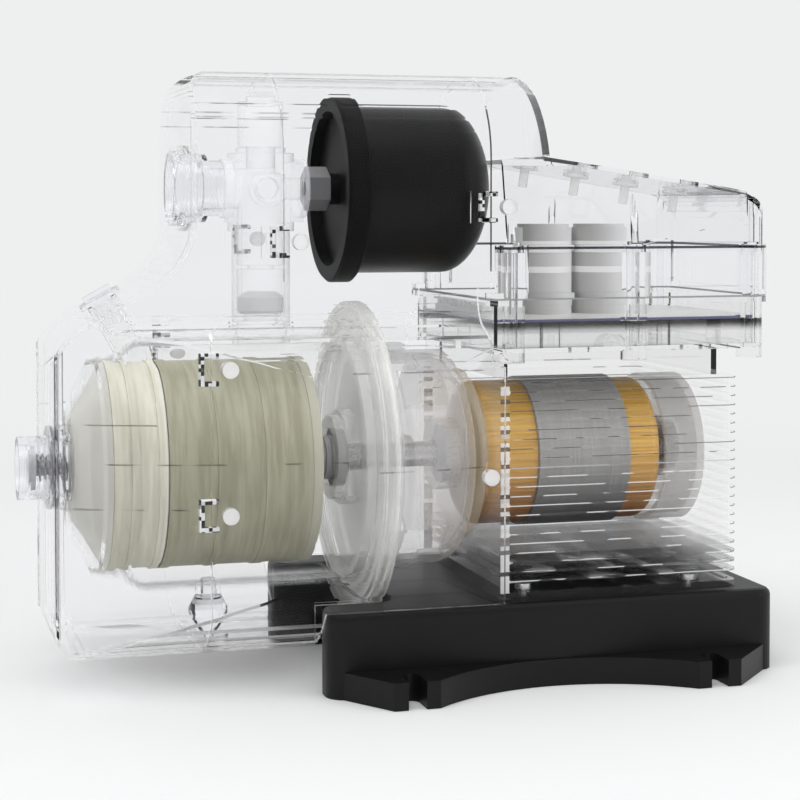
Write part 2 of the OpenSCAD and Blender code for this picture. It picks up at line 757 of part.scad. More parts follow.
// ---------- shaft line ----------
shaft_tip = stage_x(0) - 4;
shaft_end = motor_rear - 10.5;
journal_r = shaft_r + 2;
tail_r = shaft_r - 1;
play = 0.1;
bearing_r = 16;
bearing_w = 9;
bearing_x = rear_x - joint - 3.5 - bearing_w;
bearing_rear_x = shaft_end - bearing_w + 0.5;
module shaft() {
  color("silver") union() {
    rod(shaft_r, shaft_tip, bearing_x + bearing_w + 1);
    rod(journal_r, bearing_x + bearing_w + 0.9, bearing_rear_x - 1);
    rod(tail_r, bearing_rear_x - 1.1, shaft_end);
  }
}
module shaft_nut() {
  color("silver") difference() {
    translate([shaft_tip, 0, axis_z]) rotate([0, 90, 0]) cylinder(r = 10, h = 5.7, $fn = 6);
    rod(shaft_r + fit, shaft_tip - 1, shaft_tip + 8);
  }
}
seal_face = flange_front - seal_boss - 0.4;
seal_r = 15.8;
module seal_rotating() {
  color("#3a3a3c") union() {
    tube(seal_r - 3.8, shaft_r + fit, seal_face - joint - 3, seal_face - joint);
    tube(seal_r - 5.3, shaft_r + fit, seal_face - joint - seal_room + 2.5, seal_face - joint - 2);
  }
}
module seal_stationary() {
  color("#c8c4bc") union() {
    tube(seal_r, shaft_r + 0.6, seal_face + 2, seal_face + 7.5);
    tube(seal_r - 3.8, shaft_r + 0.6, seal_face, seal_face + 2.5);
  }
}
module flange_plate() {
  r = flange_d / 2;
  x0 = flange_front;
  color([0.82, 0.84, 0.8, 0.4]) difference() {
    union() {
      rod(r, x0 + 1, flange_back - 1);
      rod(r - 1, x0, flange_back);
      rod(casing_r - casing_t - fit, x0 - 5, x0 + 1);
      rod(seal_hub, x0 - seal_boss, x0 + 1);
      rod(r - 10, flange_back - 1, flange_back + rim_step);
    }
    tube(r - 3.5, r - 6.5, x0 - 1, x0 + 2);
    tube(r - 3.5, r - 6.5, flange_back - 2, flange_back + 1);
    tube(casing_r + 7, casing_r + 3, x0 - 1, x0 + 3);
    rod(seal_r + fit, x0 - seal_boss - 1, seal_face + 7.7);
    rod(shaft_r + 0.8, x0 - 4, flange_back + 5);
    tube(r - 13, seal_hub + 8, flange_back - 1.5, flange_back + 5);
    tube(casing_r - casing_t - 4, seal_hub + 3, x0 - 6, x0 + 2);
  }
}
seal_hub = 23;
rim_step = 2.5;
bell_r = 59;
bell_wall = 4;
bell_end_r = stack_d / 2 + 5;
// Turned outline of the bell, from its flange to its round shoulder, drawn d inside its surface
function bell(x0, x1, d) = concat(
  [[x0 + 8, bell_r - d], [x0 + 11, bell_r + 3 - d], [x0 + 20, bell_r + 3 - d], [x0 + 22, bell_r + 1 - d]],
  arc(x1 - 19, bell_end_r + 1, bell_r - bell_end_r - d, 90, 0, 6)
);
module motor_bracket() {
  x0 = flange_back + rim_step + joint;
  x1 = rear_x;
  rim = bell_r + 7;
  color([0.8, 0.8, 0.78, 0.5]) difference() {
    turned(concat(
      [[x0, 0], [x0, rim], [x0 + 4, rim], [x0 + 5, bell_r]], bell(x0, x1, 0),
      [[x1 - 4, bell_end_r], [x1, bell_end_r], [x1, 0]]
    ));
    turned(concat(
      [[x0 + 4, 0], [x0 + 4, bell_r - bell_wall]], bell(x0, x1, bell_wall),
      [[x1 - 8, bell_end_r - 5], [x1 - 4, bell_end_r - 5], [x1 - 4, bearing_r + 4],
        [bearing_x - 3, bearing_r + 4], [bearing_x - 3, 0]]
    ));
    rod(bearing_r + fit, bearing_x, x1 + 1);
    rod(shaft_r + 1.5, x0 - 1, x1);
    rod(24, x0 - 1, x0 + 5);
    for (a = [45, 135, 225, 315]) translate([0, 0, axis_z]) rotate([a, 0, 0])
      translate([x0 + 9, -13, 30]) cube([24, 26, 60]);
  }
}
module bearing(x, bore, r) {
  color("#9a9c9e") difference() {
    tube(r, bore + play, x, x + bearing_w);
    for (e = [x - 1, x + bearing_w - 0.8]) tube((r + bore) / 2 + 2.2, (r + bore) / 2 - 2.2, e, e + 1.8);
  }
}
module bearing_front() { bearing(bearing_x, shaft_r, bearing_r); }
module bearing_rear() { bearing(bearing_rear_x, tail_r, bearing_r - 2); }

// ---------- motor ----------
slots = 12;
module stator_stack() {
  color("#8b8b8d") difference() {
    tube(stack_d / 2, stator_bore / 2, stack_x, stack_end);
    for (i = [0:slots - 1]) translate([0, 0, axis_z]) rotate([i * 360 / slots, 0, 0])
      translate([stack_x - 1, -2, stator_bore / 2 - 1]) cube([stack_len + 2, 4, 11]);
  }
}
module winding_front() {
  color("#d99a1e") turned(concat(
    [[stack_x - joint, stator_bore / 2 + 3], [stack_x - joint, winding_d / 2]],
    arc(stack_x - winding_front_len + 6, winding_d / 2 - 6, 6, 90, 180, 5),
    arc(stack_x - winding_front_len + 5, stator_bore / 2 + 8, 5, 180, 270, 4)
  ));
}
module winding_rear() {
  color("#d99a1e") turned(concat(
    [[stack_end + joint, stator_bore / 2 + 3], [stack_end + joint, winding_d / 2]],
    arc(stack_end + winding_rear_len - 6, winding_d / 2 - 6, 6, 90, 0, 5),
    arc(stack_end + winding_rear_len - 5, stator_bore / 2 + 8, 5, 0, -90, 4)
  ));
}
module rotor_core() {
  r = stator_bore / 2 - air_gap;
  color("#a8a9ab") difference() {
    union() {
      rod(r, stack_x, stack_end);
      rod(r - 4, stack_x - 7, stack_end + 7);
    }
    rod(journal_r + fit, stack_x - 8, stack_end + 8);
  }
}
module end_shield() {
  r = stack_d / 2;
  x1 = motor_rear - 7 - joint;
  color([0.78, 0.78, 0.78, 0.5]) difference() {
    rod(r, shield_x, x1);
    difference() {
      rod(r - 3, shield_x - 1, x1 - 3);
      rod(bearing_r + 1.5, bearing_rear_x, x1);
    }
    rod(bearing_r - 2 + fit, bearing_rear_x - 1, bearing_rear_x + bearing_w);
    rod(tail_r + 1.5, shield_x, x1 + 1);
  }
}
fin_z0 = base_h + 9;
fins = floor((housing_top - 3 - fin_z0) / fin_pitch);
function fin_plan(w, x1, r) = concat(arc(x1 - r, w - r, r, 90, 0, 5), arc(x1 - r, -w + r, r, 0, -90, 5),
  [[motor_x + 4, -w], [motor_x + 4, w]]);
module motor_housing() {
  w = housing_w / 2;
  bore = stack_d / 2 + fit;
  color([0.9, 0.92, 0.94, 0.3]) difference() {
    union() {
      rod(bore + housing_t, motor_x, motor_rear - 4);
      box(motor_x, motor_x + 5, -w, w, base_h, housing_top);
      box(motor_rear - 7, motor_rear - 4, -w + 5, w - 5, base_h, housing_top);
      translate([0, 0, base_h]) linear_extrude(skirt_t) polygon(fin_plan(w, motor_rear, 6));
      translate([0, 0, housing_top - 2.5]) linear_extrude(2.5) polygon(fin_plan(w, motor_rear, 6));
      for (i = [0:fins]) translate([0, 0, fin_z0 + i * fin_pitch]) linear_extrude(fin_t)
        polygon(fin_plan(w, motor_rear, 6));
      both_sides() translate([screw_xs[1], screw_y, base_h]) cylinder(r = 6.5, h = 18);
    }
    rod(bore, motor_x - 1, motor_rear - 7);
    both_sides() for (x = screw_xs) translate([x, screw_y, base_h + skirt_t]) cylinder(r = 5.2, h = 15);
    both_sides() for (x = screw_xs) translate([x, screw_y, base_h - 1]) cylinder(r = 2.3, h = 10);
  }
}

// ---------- tower fittings ----------
riser_r = riser_d / 2;
throat = riser_r - riser_t;
seat_z = riser_z0 + 6;
piston_h = 13;
// The pipe holds the piston's seat below and a ring that stops its lift above
module riser_pipe() {
  color([0.86, 0.88, 0.88, 0.4]) translate([riser_x, 0, 0]) difference() {
    translate([0, 0, riser_z0 + joint]) cylinder(r = riser_r, h = block_z0 - riser_z0 - 2 * joint);
    translate([0, 0, seat_z]) cylinder(r = throat, h = piston_h + flow_travel + 2 * joint);
    translate([0, 0, seat_z]) cylinder(r = throat - 6, h = block_z0);
    translate([0, 0, seat_z + piston_h + flow_travel + 2.5]) cylinder(r = throat, h = block_z0);
    translate([0, 0, riser_z0 - 1]) cylinder(r = throat - 4, h = 20);
    translate([0, 0, riser_z0 - 1]) cylinder(r = throat, h = seat_z - riser_z0 - 2);
  }
}
module flow_piston() {
  color("#d9d7d0") translate([riser_x, 0, seat_z + joint]) rotate_extrude()
    polygon([[0, 0], [throat - 2.5, 0], [throat - run, 3], [throat - run, piston_h - 3],
      [throat - 5, piston_h], [0, piston_h]]);
}
side_bore = 8;
module valve_block() {
  color([0.84, 0.86, 0.86, 0.45]) difference() {
    union() {
      translate([riser_x, 0, block_z0]) cylinder(r = block_w / 2 + 1, h = block_h);
      rod(block_w / 2 - 1, block_x0, block_x1, port_z);
      box(block_x0 + 5, block_x1 - 4, -block_w / 2, block_w / 2, block_z0 + 5, block_z1 - 5);
      translate([riser_x, 0, block_z1 - 1]) cylinder(r = 13.5, h = 4);
      pin_y(10, riser_x, -block_w / 2 - 3, 0, port_z);
    }
    translate([riser_x, 0, block_z0 - 1]) cylinder(r = throat, h = port_z - block_z0 + 9);
    translate([riser_x, 0, port_z]) cylinder(r = side_bore, h = 40);
    rod(11, block_x0 - 1, riser_x, port_z);
    rod(6, riser_x, block_x1 + 1, port_z);
    pin_y(6, riser_x, -block_w / 2 - 4, 0, port_z);
  }
}
module outlet_fitting() {
  x0 = tower_x - 3;
  color([0.86, 0.88, 0.92, 0.45]) difference() {
    union() {
      rod(outlet_ring_d / 2, x0, tower_x + shell_t + 1, port_z);
      rod(outlet_ring_d / 2 + 3, tower_x + shell_t + joint, tower_x + shell_t + 3.3, port_z);
      rod(15, tower_x + 4, block_x0 - joint, port_z);
      rod(outlet_d / 2 + 3, tower_x + 4, tower_x + 16, port_z);
    }
    rod(outlet_d / 2, x0 - 1, x0 + 16, port_z);
    rod(11, x0, block_x0 + 1, port_z);
  }
}
sensor_r = 12.3;
sensor_h = 24;
module pressure_sensor() {
  color([0.86, 0.86, 0.88, 0.6]) translate([riser_x, 0, 0]) union() {
    translate([0, 0, block_z1 + 3 + joint]) cylinder(r = sensor_r, h = sensor_h);
    translate([0, 0, block_z1 - 8]) cylinder(r = side_bore - joint, h = 14);
    translate([0, 0, block_z1 + 3 + sensor_h]) cylinder(r = sensor_r * 0.65, h = 5);
  }
}
module flow_cap() {
  y0 = -block_w / 2 - 3;
  color([0.86, 0.86, 0.86, 0.7]) union() {
    pin_y(8, riser_x, y0 - joint - 3, y0 - joint, port_z);
    pin_y(5.7, riser_x, y0 - 1, y0 + 6, port_z);
  }
}
// ---------- tank ----------
tank_r = tank_d / 2;
collar_lip = 9;
recess = collar_len - 3.5;
module tank_collar() {
  r = collar_d / 2;
  color("#1b1b1b") difference() {
    union() {
      difference() {
        turned([[collar_x + 1.5, 0], [collar_x, r - 4], [collar_x, r - 1.5], [collar_x + 1.5, r],
          [tank_x - 1, r], [tank_x, r - 1], [tank_x, 0]], port_z);
        rod(r - collar_lip, collar_x - 1, collar_x + recess - 2.5, port_z);
      }
      rod(8.5, collar_x, collar_x + recess - 1, port_z);
    }
    rod(tank_r + fit, collar_x + recess, tank_x + 1, port_z);
    rod(3, collar_x - 1, tank_x, port_z);
  }
}
bag_len = 31;
bag_t = 1.4;
module tank_diaphragm() {
  x0 = collar_x + recess;
  x1 = x0 + bag_len;
  color("#2c2c2c") turned([[x0 + joint, tank_r - 0.4], [x0 + joint, tank_r - 8], [x0 + 18, tank_r - 12],
    [x1 - 1, 12], [x1, 0], [x1 + bag_t, 0], [x1 + bag_t - 1, 13], [x0 + 19, tank_r - 12 + bag_t],
    [x0 + joint + 1, tank_r - 8 + bag_t], [x0 + joint + 1, tank_r - 0.4]], port_z);
}
module tank_shell() {
  x0 = collar_x + recess + 1.6;
  x1 = tank_x + tank_len;
  function dome_at(r, h, a) = [x1 + h * sin(a), r * cos(a)];
  color("#141414") turned(concat(
    [[x0, tank_r - 2.2], [x0, tank_r]], [for (a = [0:9:81]) dome_at(tank_r, dome, a)], [[x1 + dome, 0]],
    [[x1 + dome - 2.2, 0]], [for (a = [81:-9:0]) dome_at(tank_r - 2.2, dome - 2.2, a)]
  ), port_z);
}
module tank_nut() {
  color("#6e6e70") difference() {
    translate([block_x1 + joint, 0, port_z]) rotate([0, 90, 0])
      cylinder(r = 12, h = nut_len - joint, $fn = 6);
    rod(4, block_x1 - 1, collar_x + 1, port_z);
  }
}

// ---------- control box ----------
function box_half(x) = box_w / 2 + (box_tail_w - box_w) / 2 * (x - box_x0) / box_len;
function box_plan(d, x0 = box_x0) = let (r = 12, w1 = box_half(box_x1)) concat(
  [[x0 + d, -box_half(x0) + d]], arc(box_x1 - r, -w1 + r, r - d, -90, 0, 6),
  arc(box_x1 - r, w1 - r, r - d, 0, 90, 6), [[x0 + d, box_half(x0) - d]]
);
tower_xs = [box_x0 + 14, (box_x0 + box_x1 + 3) / 2, box_x1 - 12];
tower_r = screw_tower_d / 2;
function tower_y(x) = box_half(x) - tower_r + 3;
module slab(pts, z0, z1) { translate([0, 0, z0]) linear_extrude(z1 - z0) polygon(pts); }
module at_towers() { both_sides() for (x = tower_xs) translate([x, tower_y(x), 0]) children(); }
cover_in = 6;
seal_t = 0.8;
hood_w0 = box_w / 2 - cover_in;
hood_w1 = tower_w / 2 + 1;
hood_lean = (hood_w0 - hood_w1) / (hood_z - rim_z);
function hood_y(z) = hood_w0 - (z - rim_z) * hood_lean;
module hood(d, x0, top) {
  end_r = 20;
  intersection() {
    across(concat(
      [[x0, flange_z - (d > 0 ? 1 : 0)], [x0, top ? hood_z - d : hood_z + 30],
        [hood_knee_x, top ? hood_z - d : hood_z + 30], [hood_knee_x, hood_z - d]],
      [[box_x1 - end_r + d * tan(hood_slope), hood_end_z - d]],
      arc(box_x1 - end_r - 2, hood_end_z - end_r, end_r - d, 70, 0, 6),
      [[box_x1 - 2 - d, flange_z - (d > 0 ? 1 : 0)]]
    ), body_w);
    along(both_halves([[hood_w0 - d, flange_z - 5], [hood_w0 - d, rim_z],
      [hood_y(hood_z - 5) - d, hood_z - 5], [hood_w1 - 3 - d * 0.6, hood_z - d + (top ? 0 : 30)]]),
      x0 - 1, box_x1 + 5);
    slab(box_plan(cover_in - 4 + d, x0), flange_z - 5, hood_z + 40);
  }
}
button_margin = button_d / 2 + 4;
button_pitch = (box_x1 - 20 - hood_knee_x - 2 * button_margin) / 3;
module button_frame(i) {
  x = hood_knee_x + button_margin + i * button_pitch;
  z = hood_z - (x - hood_knee_x) * tan(hood_slope);
  translate([x, 0, z]) rotate([0, hood_slope, 0]) children();
}
module control_cover() {
  color([0.9, 0.92, 0.95, 0.3]) difference() {
    union() {
      hood(0, cover_x0, true);
      difference() {
        slab(box_plan(0), flange_z, flange_z + 3);
        slab(box_plan(cover_in + box_t, box_x0 - 4), flange_z - 1, flange_z + 4);
      }
      difference() {
        slab(box_plan(2, cover_x0), rim_z - 2.5, rim_z);
        slab(box_plan(cover_in + box_t, cover_x0 - 20), rim_z - 5, rim_z + 5);
      }
      at_towers() translate([0, 0, flange_z]) cylinder(r = tower_r, h = rim_z - flange_z);
    }
    hood(box_t, cover_x0 - 30, false);
    at_towers() translate([0, 0, flange_z - 1]) cylinder(r = 2.2, h = 60);
    at_towers() translate([0, 0, rim_z - 4]) cylinder(r = 4.7, h = 5);
    for (i = [0:3]) button_frame(i) translate([0, 0, -8]) cylinder(r = button_d / 2 + run, h = 12);
    plug_holes();
  }
}
tray_top = flange_z - seal_t;
module control_tray() {
  ped_w = 58;
  color([0.88, 0.9, 0.93, 0.35]) difference() {
    union() {
      slab(box_plan(3), tray_z, tray_top);
      slab(box_plan(0), tray_top - 3, tray_top);
      at_towers() translate([0, 0, leg_z]) cylinder(r = tower_r - 2, h = tray_top - leg_z);
      box(motor_x + 6, motor_rear - 8, -ped_w, ped_w, housing_top, tray_z + 1);
    }
    slab(box_plan(3 + box_t), tray_z + box_t, flange_z + 1);
    box(motor_x + 6 + box_t, motor_rear - 8 - box_t, -ped_w + box_t, ped_w - box_t, housing_top - 1, tray_z);
    at_towers() translate([0, 0, leg_z + 8]) cylinder(r = 2.2, h = 60);
    translate([gland_x, box_half(gland_x) - 12, gland_z]) rotate([-90, 0, 0]) cylinder(r = 8, h = 30);
  }
  for (x = [box_x0 + 24, box_x1 - 24], y = [-1, 1]) color([0.88, 0.9, 0.93, 0.35])
    translate([x, y * 40, tray_z + box_t - 0.5]) cylinder(r = 4, h = pcb_z - tray_z - box_t + 0.5);
}
module box_gasket() {
  color("#4a4a4a") difference() {
    slab(box_plan(0.5), tray_top, flange_z);
    slab(box_plan(4), tray_top - 1, flange_z + 1);
    at_towers() translate([0, 0, tray_top - 1]) cylinder(r = 3, h = 3);
  }
}
module box_screws() {
  color("silver") at_towers() {
    translate([0, 0, leg_z + 10]) cylinder(r = 2, h = rim_z - 4 - leg_z - 10 + 0.1);
    translate([0, 0, rim_z - 4]) cylinder(r = 4.2, h = 2.8);
  }
}
module circuit_board() {
  color("#22352c") difference() {
    slab(box_plan(3 + box_t + 0.8), pcb_z, pcb_z + 1.6);
    at_towers() translate([0, 0, pcb_z - 1]) cylinder(r = tower_r - 1, h = 5);
  }
}
board_top = pcb_z + 1.6;
cap_x = hood_knee_x + 1.5 + cap_d / 2;
cap_xs = [cap_x, cap_x + cap_d + 1.5];
module capacitors() {
  color("#b0aeaa") for (x = cap_xs) translate([x, -6, board_top]) {
    cylinder(d = cap_d, h = cap_h - 2);
    cylinder(d = cap_d - 3, h = cap_h);
  }
}
strip_len = 84;
strip_w = 6;
strip_h = 8;
module connector_strip() {
  x0 = box_x0 + 3 + box_t + 1.5;
  ways = 12;
  pitch = strip_len / ways;
  color("#d8d8d4") union() {
    box(x0, x0 + strip_w, -strip_len / 2, strip_len / 2, board_top, board_top + strip_h / 2);
    for (i = [0:ways - 1]) let (y = (i - ways / 2) * pitch)
      box(x0 + 1, x0 + strip_w - 1, y + 1, y + pitch - 1, board_top + strip_h / 2 - 1, board_top + strip_h);
  }
}
gland_x = box_x1 - 40;
gland_z = (tray_z + flange_z) / 2 - 1;
module cable_gland() {
  y0 = box_half(gland_x) - 2.2;
  color("#3c3c3c") translate([gland_x, y0, gland_z]) rotate([-90, 0, 0]) difference() {
    union() {
      translate([0, 0, -4]) cylinder(r = 7.7, h = 8);
      translate([0, 0, 0]) cylinder(r = 9.5, h = 5, $fn = 6);
      translate([0, 0, 5]) cylinder(r = 8, h = 9);
    }
    translate([0, 0, -5]) cylinder(r = 3.6, h = 30);
  }
}
module button(i) {
  color("#c4c6c8") button_frame(i) union() {
    translate([0, 0, -box_t - 1.5]) cylinder(r = button_d / 2, h = box_t + 1.5 + button_travel + 0.8);
    translate([0, 0, -box_t - joint - 1.5]) cylinder(r = button_d / 2 + 1.8, h = 1.5);
    translate([0, 0, -box_t - 12]) cylinder(r = 2.6, h = 11);
  }
}
module button_1() { button(0); }
module button_2() { button(1); }
module button_3() { button(2); }
module button_4() { button(3); }
module priming_plug() {
  color("#dcdcda") fill_frame() union() {
    translate([0, 0, 0.6]) cylinder(d = fill_head_d, h = 3);
    translate([-8, -2, 3]) cube([16, 4, 4]);
    translate([0, 0, -14]) cylinder(r = fill_bore / 2 - run, h = 15);
  }
}
module drain_plug() {
  z0 = axis_z - casing_r - 4 - joint;
  color("#e6e6e4") translate([drain_x, 0, 0]) rotate_extrude()
    polygon([[0, belly_z + 1], [2.5, belly_z + 1], [7.5, z0 - 14], [drain_d / 2, z0 - 9],
      [drain_d / 2, z0 - 6], [drain_d / 2 - 3, z0], [drain_pin_r, z0], [drain_pin_r, z0 + 9], [0, z0 + 9]]);
}

base();
base_screws();
front_cover();
rear_cover();
tower_cap();
cover_screws();
pump_casing();
suction_cone();
first_bowl();
stage_sleeve();
inlet_adapter();
inlet_gasket();
check_poppet();
check_spring();
check_cage();
impeller_1();
impeller_2();
impeller_3();
diffuser_1();
diffuser_2();
diffuser_3();
shaft();
shaft_nut();
seal_stationary();
seal_rotating();
flange_plate();
motor_bracket();
priming_plug();
drain_plug();
riser_pipe();
valve_block();
outlet_fitting();
pressure_sensor();
flow_piston();
flow_cap();
tank_shell();
tank_collar();
tank_diaphragm();
tank_nut();
motor_housing();
stator_stack();
winding_front();
winding_rear();
rotor_core();
bearing_front();
bearing_rear();
end_shield();
control_tray();
control_cover();
box_gasket();
box_screws();
circuit_board();
capacitors();
connector_strip();
cable_gland();
button_1();
button_2();
button_3();
button_4();
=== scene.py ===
import bmesh
import bpy
import math
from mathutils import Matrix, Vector


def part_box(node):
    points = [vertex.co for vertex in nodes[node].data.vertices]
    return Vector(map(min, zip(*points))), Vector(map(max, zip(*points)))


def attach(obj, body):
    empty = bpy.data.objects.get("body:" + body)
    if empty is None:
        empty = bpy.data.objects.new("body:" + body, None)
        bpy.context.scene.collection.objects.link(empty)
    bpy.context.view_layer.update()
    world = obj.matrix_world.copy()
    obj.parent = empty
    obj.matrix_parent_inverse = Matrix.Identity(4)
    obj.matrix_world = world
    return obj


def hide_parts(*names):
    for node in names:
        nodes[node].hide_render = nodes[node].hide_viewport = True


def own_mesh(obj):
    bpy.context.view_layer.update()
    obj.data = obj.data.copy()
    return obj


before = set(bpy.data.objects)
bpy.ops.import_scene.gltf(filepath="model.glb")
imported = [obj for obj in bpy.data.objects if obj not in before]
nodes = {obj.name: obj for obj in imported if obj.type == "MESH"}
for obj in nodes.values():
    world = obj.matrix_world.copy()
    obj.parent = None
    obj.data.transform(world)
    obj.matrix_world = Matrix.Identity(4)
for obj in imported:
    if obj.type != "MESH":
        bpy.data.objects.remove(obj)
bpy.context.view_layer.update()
scene = bpy.context.scene
print("pump frame loaded:", len(nodes), "nodes")

studio = {
    "paper": (0.855, 0.863, 0.866),
    "front": (0.40, 0.40, 0.41),
    "side": (0.78, 0.78, 0.80),
    "skyStrength": 0.80,
    "floorTone": (0.90, 0.905, 0.91),
    "floorSize": 9.0,
    "fadeFrom": 0.45,
    "fadeTo": 1.3,
    "upTilt": 0.15,
    "aheadSpan": (-0.15, 0.55),
    "backSpan": (-0.75, -0.1),
    "underBase": -0.0002,
}
view = {
    "eye": (-0.3504, -1.0093, 0.250),
    "turn": 16.0,
    "pitch": 2.14,
    "shiftUp": -0.15,
    "focalPx": 1900.0,
    "framePx": 800.0,
    "sensor": 36.0,
    "nearest": 0.01,
}
bounces = {"all": 24, "glass": 20, "clear": 48}


def node(tree, kind, x=0, y=0, **values):
    made = tree.nodes.new(kind)
    made.location = (x, y)
    for name, value in values.items():
        setattr(made, name, value)
    return made


def join(tree, source, target):
    tree.links.new(source, target)


def mathNode(tree, operation, a, b=None, clamp=False):
    made = node(tree, "ShaderNodeMath", operation=operation, use_clamp=clamp)
    for slot, value in ((0, a), (1, b)):
        if value is None:
            continue
        if isinstance(value, (int, float)):
            made.inputs[slot].default_value = value
        else:
            join(tree, value, made.inputs[slot])
    return made.outputs[0]


def mixColour(tree, factor, first, second, blend="MIX"):
    made = node(tree, "ShaderNodeMix", data_type="RGBA", blend_type=blend)
    for socket, value in ((made.inputs[0], factor), (made.inputs[6], first), (made.inputs[7], second)):
        if isinstance(value, (int, float)):
            socket.default_value = value
        elif isinstance(value, tuple):
            socket.default_value = (*value, 1.0)[:4]
        else:
            join(tree, value, socket)
    return made.outputs[2]


def step(tree, value, low, high):  # a soft rise from 0 to 1 between low and high
    made = node(tree, "ShaderNodeMapRange", interpolation_type="SMOOTHSTEP")
    join(tree, value, made.inputs[0])
    made.inputs[1].default_value = low
    made.inputs[2].default_value = high
    return made.outputs[0]


def distance(tree, value, middle):
    return mathNode(tree, "ABSOLUTE", mathNode(tree, "SUBTRACT", value, middle))


def keepBetween(tree, mask, value, low, high):  # the mask, only where the value lies between the two
    mask = mathNode(tree, "MULTIPLY", mask, mathNode(tree, "GREATER_THAN", value, low))
    return mathNode(tree, "MULTIPLY", mask, mathNode(tree, "LESS_THAN", value, high))


def axes(tree, vector):  # a vector's X, Y and Z
    made = node(tree, "ShaderNodeSeparateXYZ")
    join(tree, vector, made.inputs[0])
    return made.outputs


def buildWorld():
    world = bpy.data.worlds.new("paperRoom")
    scene.world = world
    world.use_nodes = True
    tree = world.node_tree
    tree.nodes.clear()
    out = node(tree, "ShaderNodeOutputWorld", 600, 0)
    path = node(tree, "ShaderNodeLightPath", -400, 200)
    bent = mathNode(tree, "MAXIMUM", path.outputs["Is Glossy Ray"], path.outputs["Is Transmission Ray"])
    seen = mathNode(tree, "MAXIMUM", path.outputs["Is Camera Ray"], bent)
    light = node(tree, "ShaderNodeBackground", 0, -100)
    light.inputs["Color"].default_value = (1, 1, 1, 1)
    light.inputs["Strength"].default_value = studio["skyStrength"]
    # bright behind the pump, dark behind the camera, so clear edges draw themselves
    aim = node(tree, "ShaderNodeTexCoord", -800, 0)
    along = node(tree, "ShaderNodeVectorMath", -600, 0, operation="DOT_PRODUCT")
    join(tree, aim.outputs["Generated"], along.inputs[0])
    turn = math.radians(view["turn"])
    along.inputs[1].default_value = (math.sin(turn), math.cos(turn), studio["upTilt"])
    ahead = step(tree, along.outputs["Value"], *studio["aheadSpan"])
    back = step(tree, along.outputs["Value"], *studio["backSpan"])
    tone = mixColour(tree, back, studio["front"], studio["side"])
    tone = mixColour(tree, ahead, tone, studio["paper"])
    tone = mixColour(tree, path.outputs["Is Camera Ray"], tone, studio["paper"])
    paper = node(tree, "ShaderNodeBackground", 0, 100)
    join(tree, tone, paper.inputs["Color"])
    mix = node(tree, "ShaderNodeMixShader", 300, 0)
    join(tree, seen, mix.inputs[0])
    join(tree, light.outputs[0], mix.inputs[1])
    join(tree, paper.outputs[0], mix.inputs[2])
    join(tree, mix.outputs[0], out.inputs[0])


def buildFloor():
    mesh = bpy.data.meshes.new("studioFloor")
    made = bmesh.new()
    bmesh.ops.create_grid(made, x_segments=2, y_segments=2, size=studio["floorSize"])
    bmesh.ops.translate(made, verts=made.verts, vec=(0, 0, studio["underBase"]))
    made.to_mesh(mesh)
    made.free()
    floor = bpy.data.objects.new("studioFloor", mesh)
    scene.collection.objects.link(floor)
    mat = bpy.data.materials.new("studioPaper")
    mat.use_nodes = True
    tree = mat.node_tree
    tree.nodes.clear()
    out = node(tree, "ShaderNodeOutputMaterial", 800, 0)
    paint = node(tree, "ShaderNodeBsdfDiffuse", 200, 100)
    paint.inputs["Color"].default_value = (*studio["floorTone"], 1)
    far = node(tree, "ShaderNodeEmission", 200, -100)
    far.inputs["Color"].default_value = (*studio["paper"], 1)
    spot = node(tree, "ShaderNodeTexCoord", -800, 0)
    length = node(tree, "ShaderNodeVectorMath", -600, 0, operation="LENGTH")
    join(tree, spot.outputs["Object"], length.inputs[0])
    mix = node(tree, "ShaderNodeMixShader", 500, 0)
    join(tree, step(tree, length.outputs["Value"], studio["fadeFrom"], studio["fadeTo"]), mix.inputs[0])
    join(tree, paint.outputs[0], mix.inputs[1])
    join(tree, far.outputs[0], mix.inputs[2])
    join(tree, mix.outputs[0], out.inputs[0])
    floor.data.materials.append(mat)


lamps = {
    "topSoft": {"at": (-0.35, -0.35, 1.25), "aim": (-0.02, 0, 0.15), "size": 0.9, "power": 5.0},
    "rightStrip": {"at": (0.85, -0.75, 0.55), "aim": (0.0, 0, 0.2), "size": 0.5, "power": 2.2},
}


def buildLamps():
    for name, lamp in lamps.items():
        light = bpy.data.lights.new(name, "AREA")
        light.shape = "SQUARE"
        light.size = lamp["size"]
        light.energy = lamp["power"]
        made = bpy.data.objects.new(name, light)
        scene.collection.objects.link(made)
        made.location = lamp["at"]
        toward = Vector(lamp["aim"]) - Vector(lamp["at"])
        made.rotation_euler = toward.to_track_quat("-Z", "Y").to_euler()


def buildCamera():
    data = bpy.data.cameras.new("pumpCamera")
    data.sensor_width = view["sensor"]
    data.lens = view["focalPx"] / view["framePx"] * view["sensor"]
    data.shift_y = view["shiftUp"]
    data.clip_start = view["nearest"]
    made = bpy.data.objects.new("pumpCamera", data)
    scene.collection.objects.link(made)
    made.location = view["eye"]
    made.rotation_euler = (math.radians(90 - view["pitch"]), 0, -math.radians(view["turn"]))
    scene.camera = made


buildWorld()
buildFloor()
buildLamps()
buildCamera()
scene.view_settings.view_transform = "Standard"
scene.cycles.max_bounces = bounces["all"]
scene.cycles.transmission_bounces = bounces["glass"]
scene.cycles.transparent_max_bounces = bounces["clear"]
print("studio ready")


def newGroup(name, ins, outs):
    group = bpy.data.node_groups.new(name, "ShaderNodeTree")
    for label, kind, value in ins:
        socket = group.interface.new_socket(name=label, in_out="INPUT", socket_type=kind)
        if value is not None:
            socket.default_value = value
    for label, kind in outs:
        group.interface.new_socket(name=label, in_out="OUTPUT", socket_type=kind)
    start = node(group, "NodeGroupInput", -900, 0)
    end = node(group, "NodeGroupOutput", 900, 0)
    return group, start, end


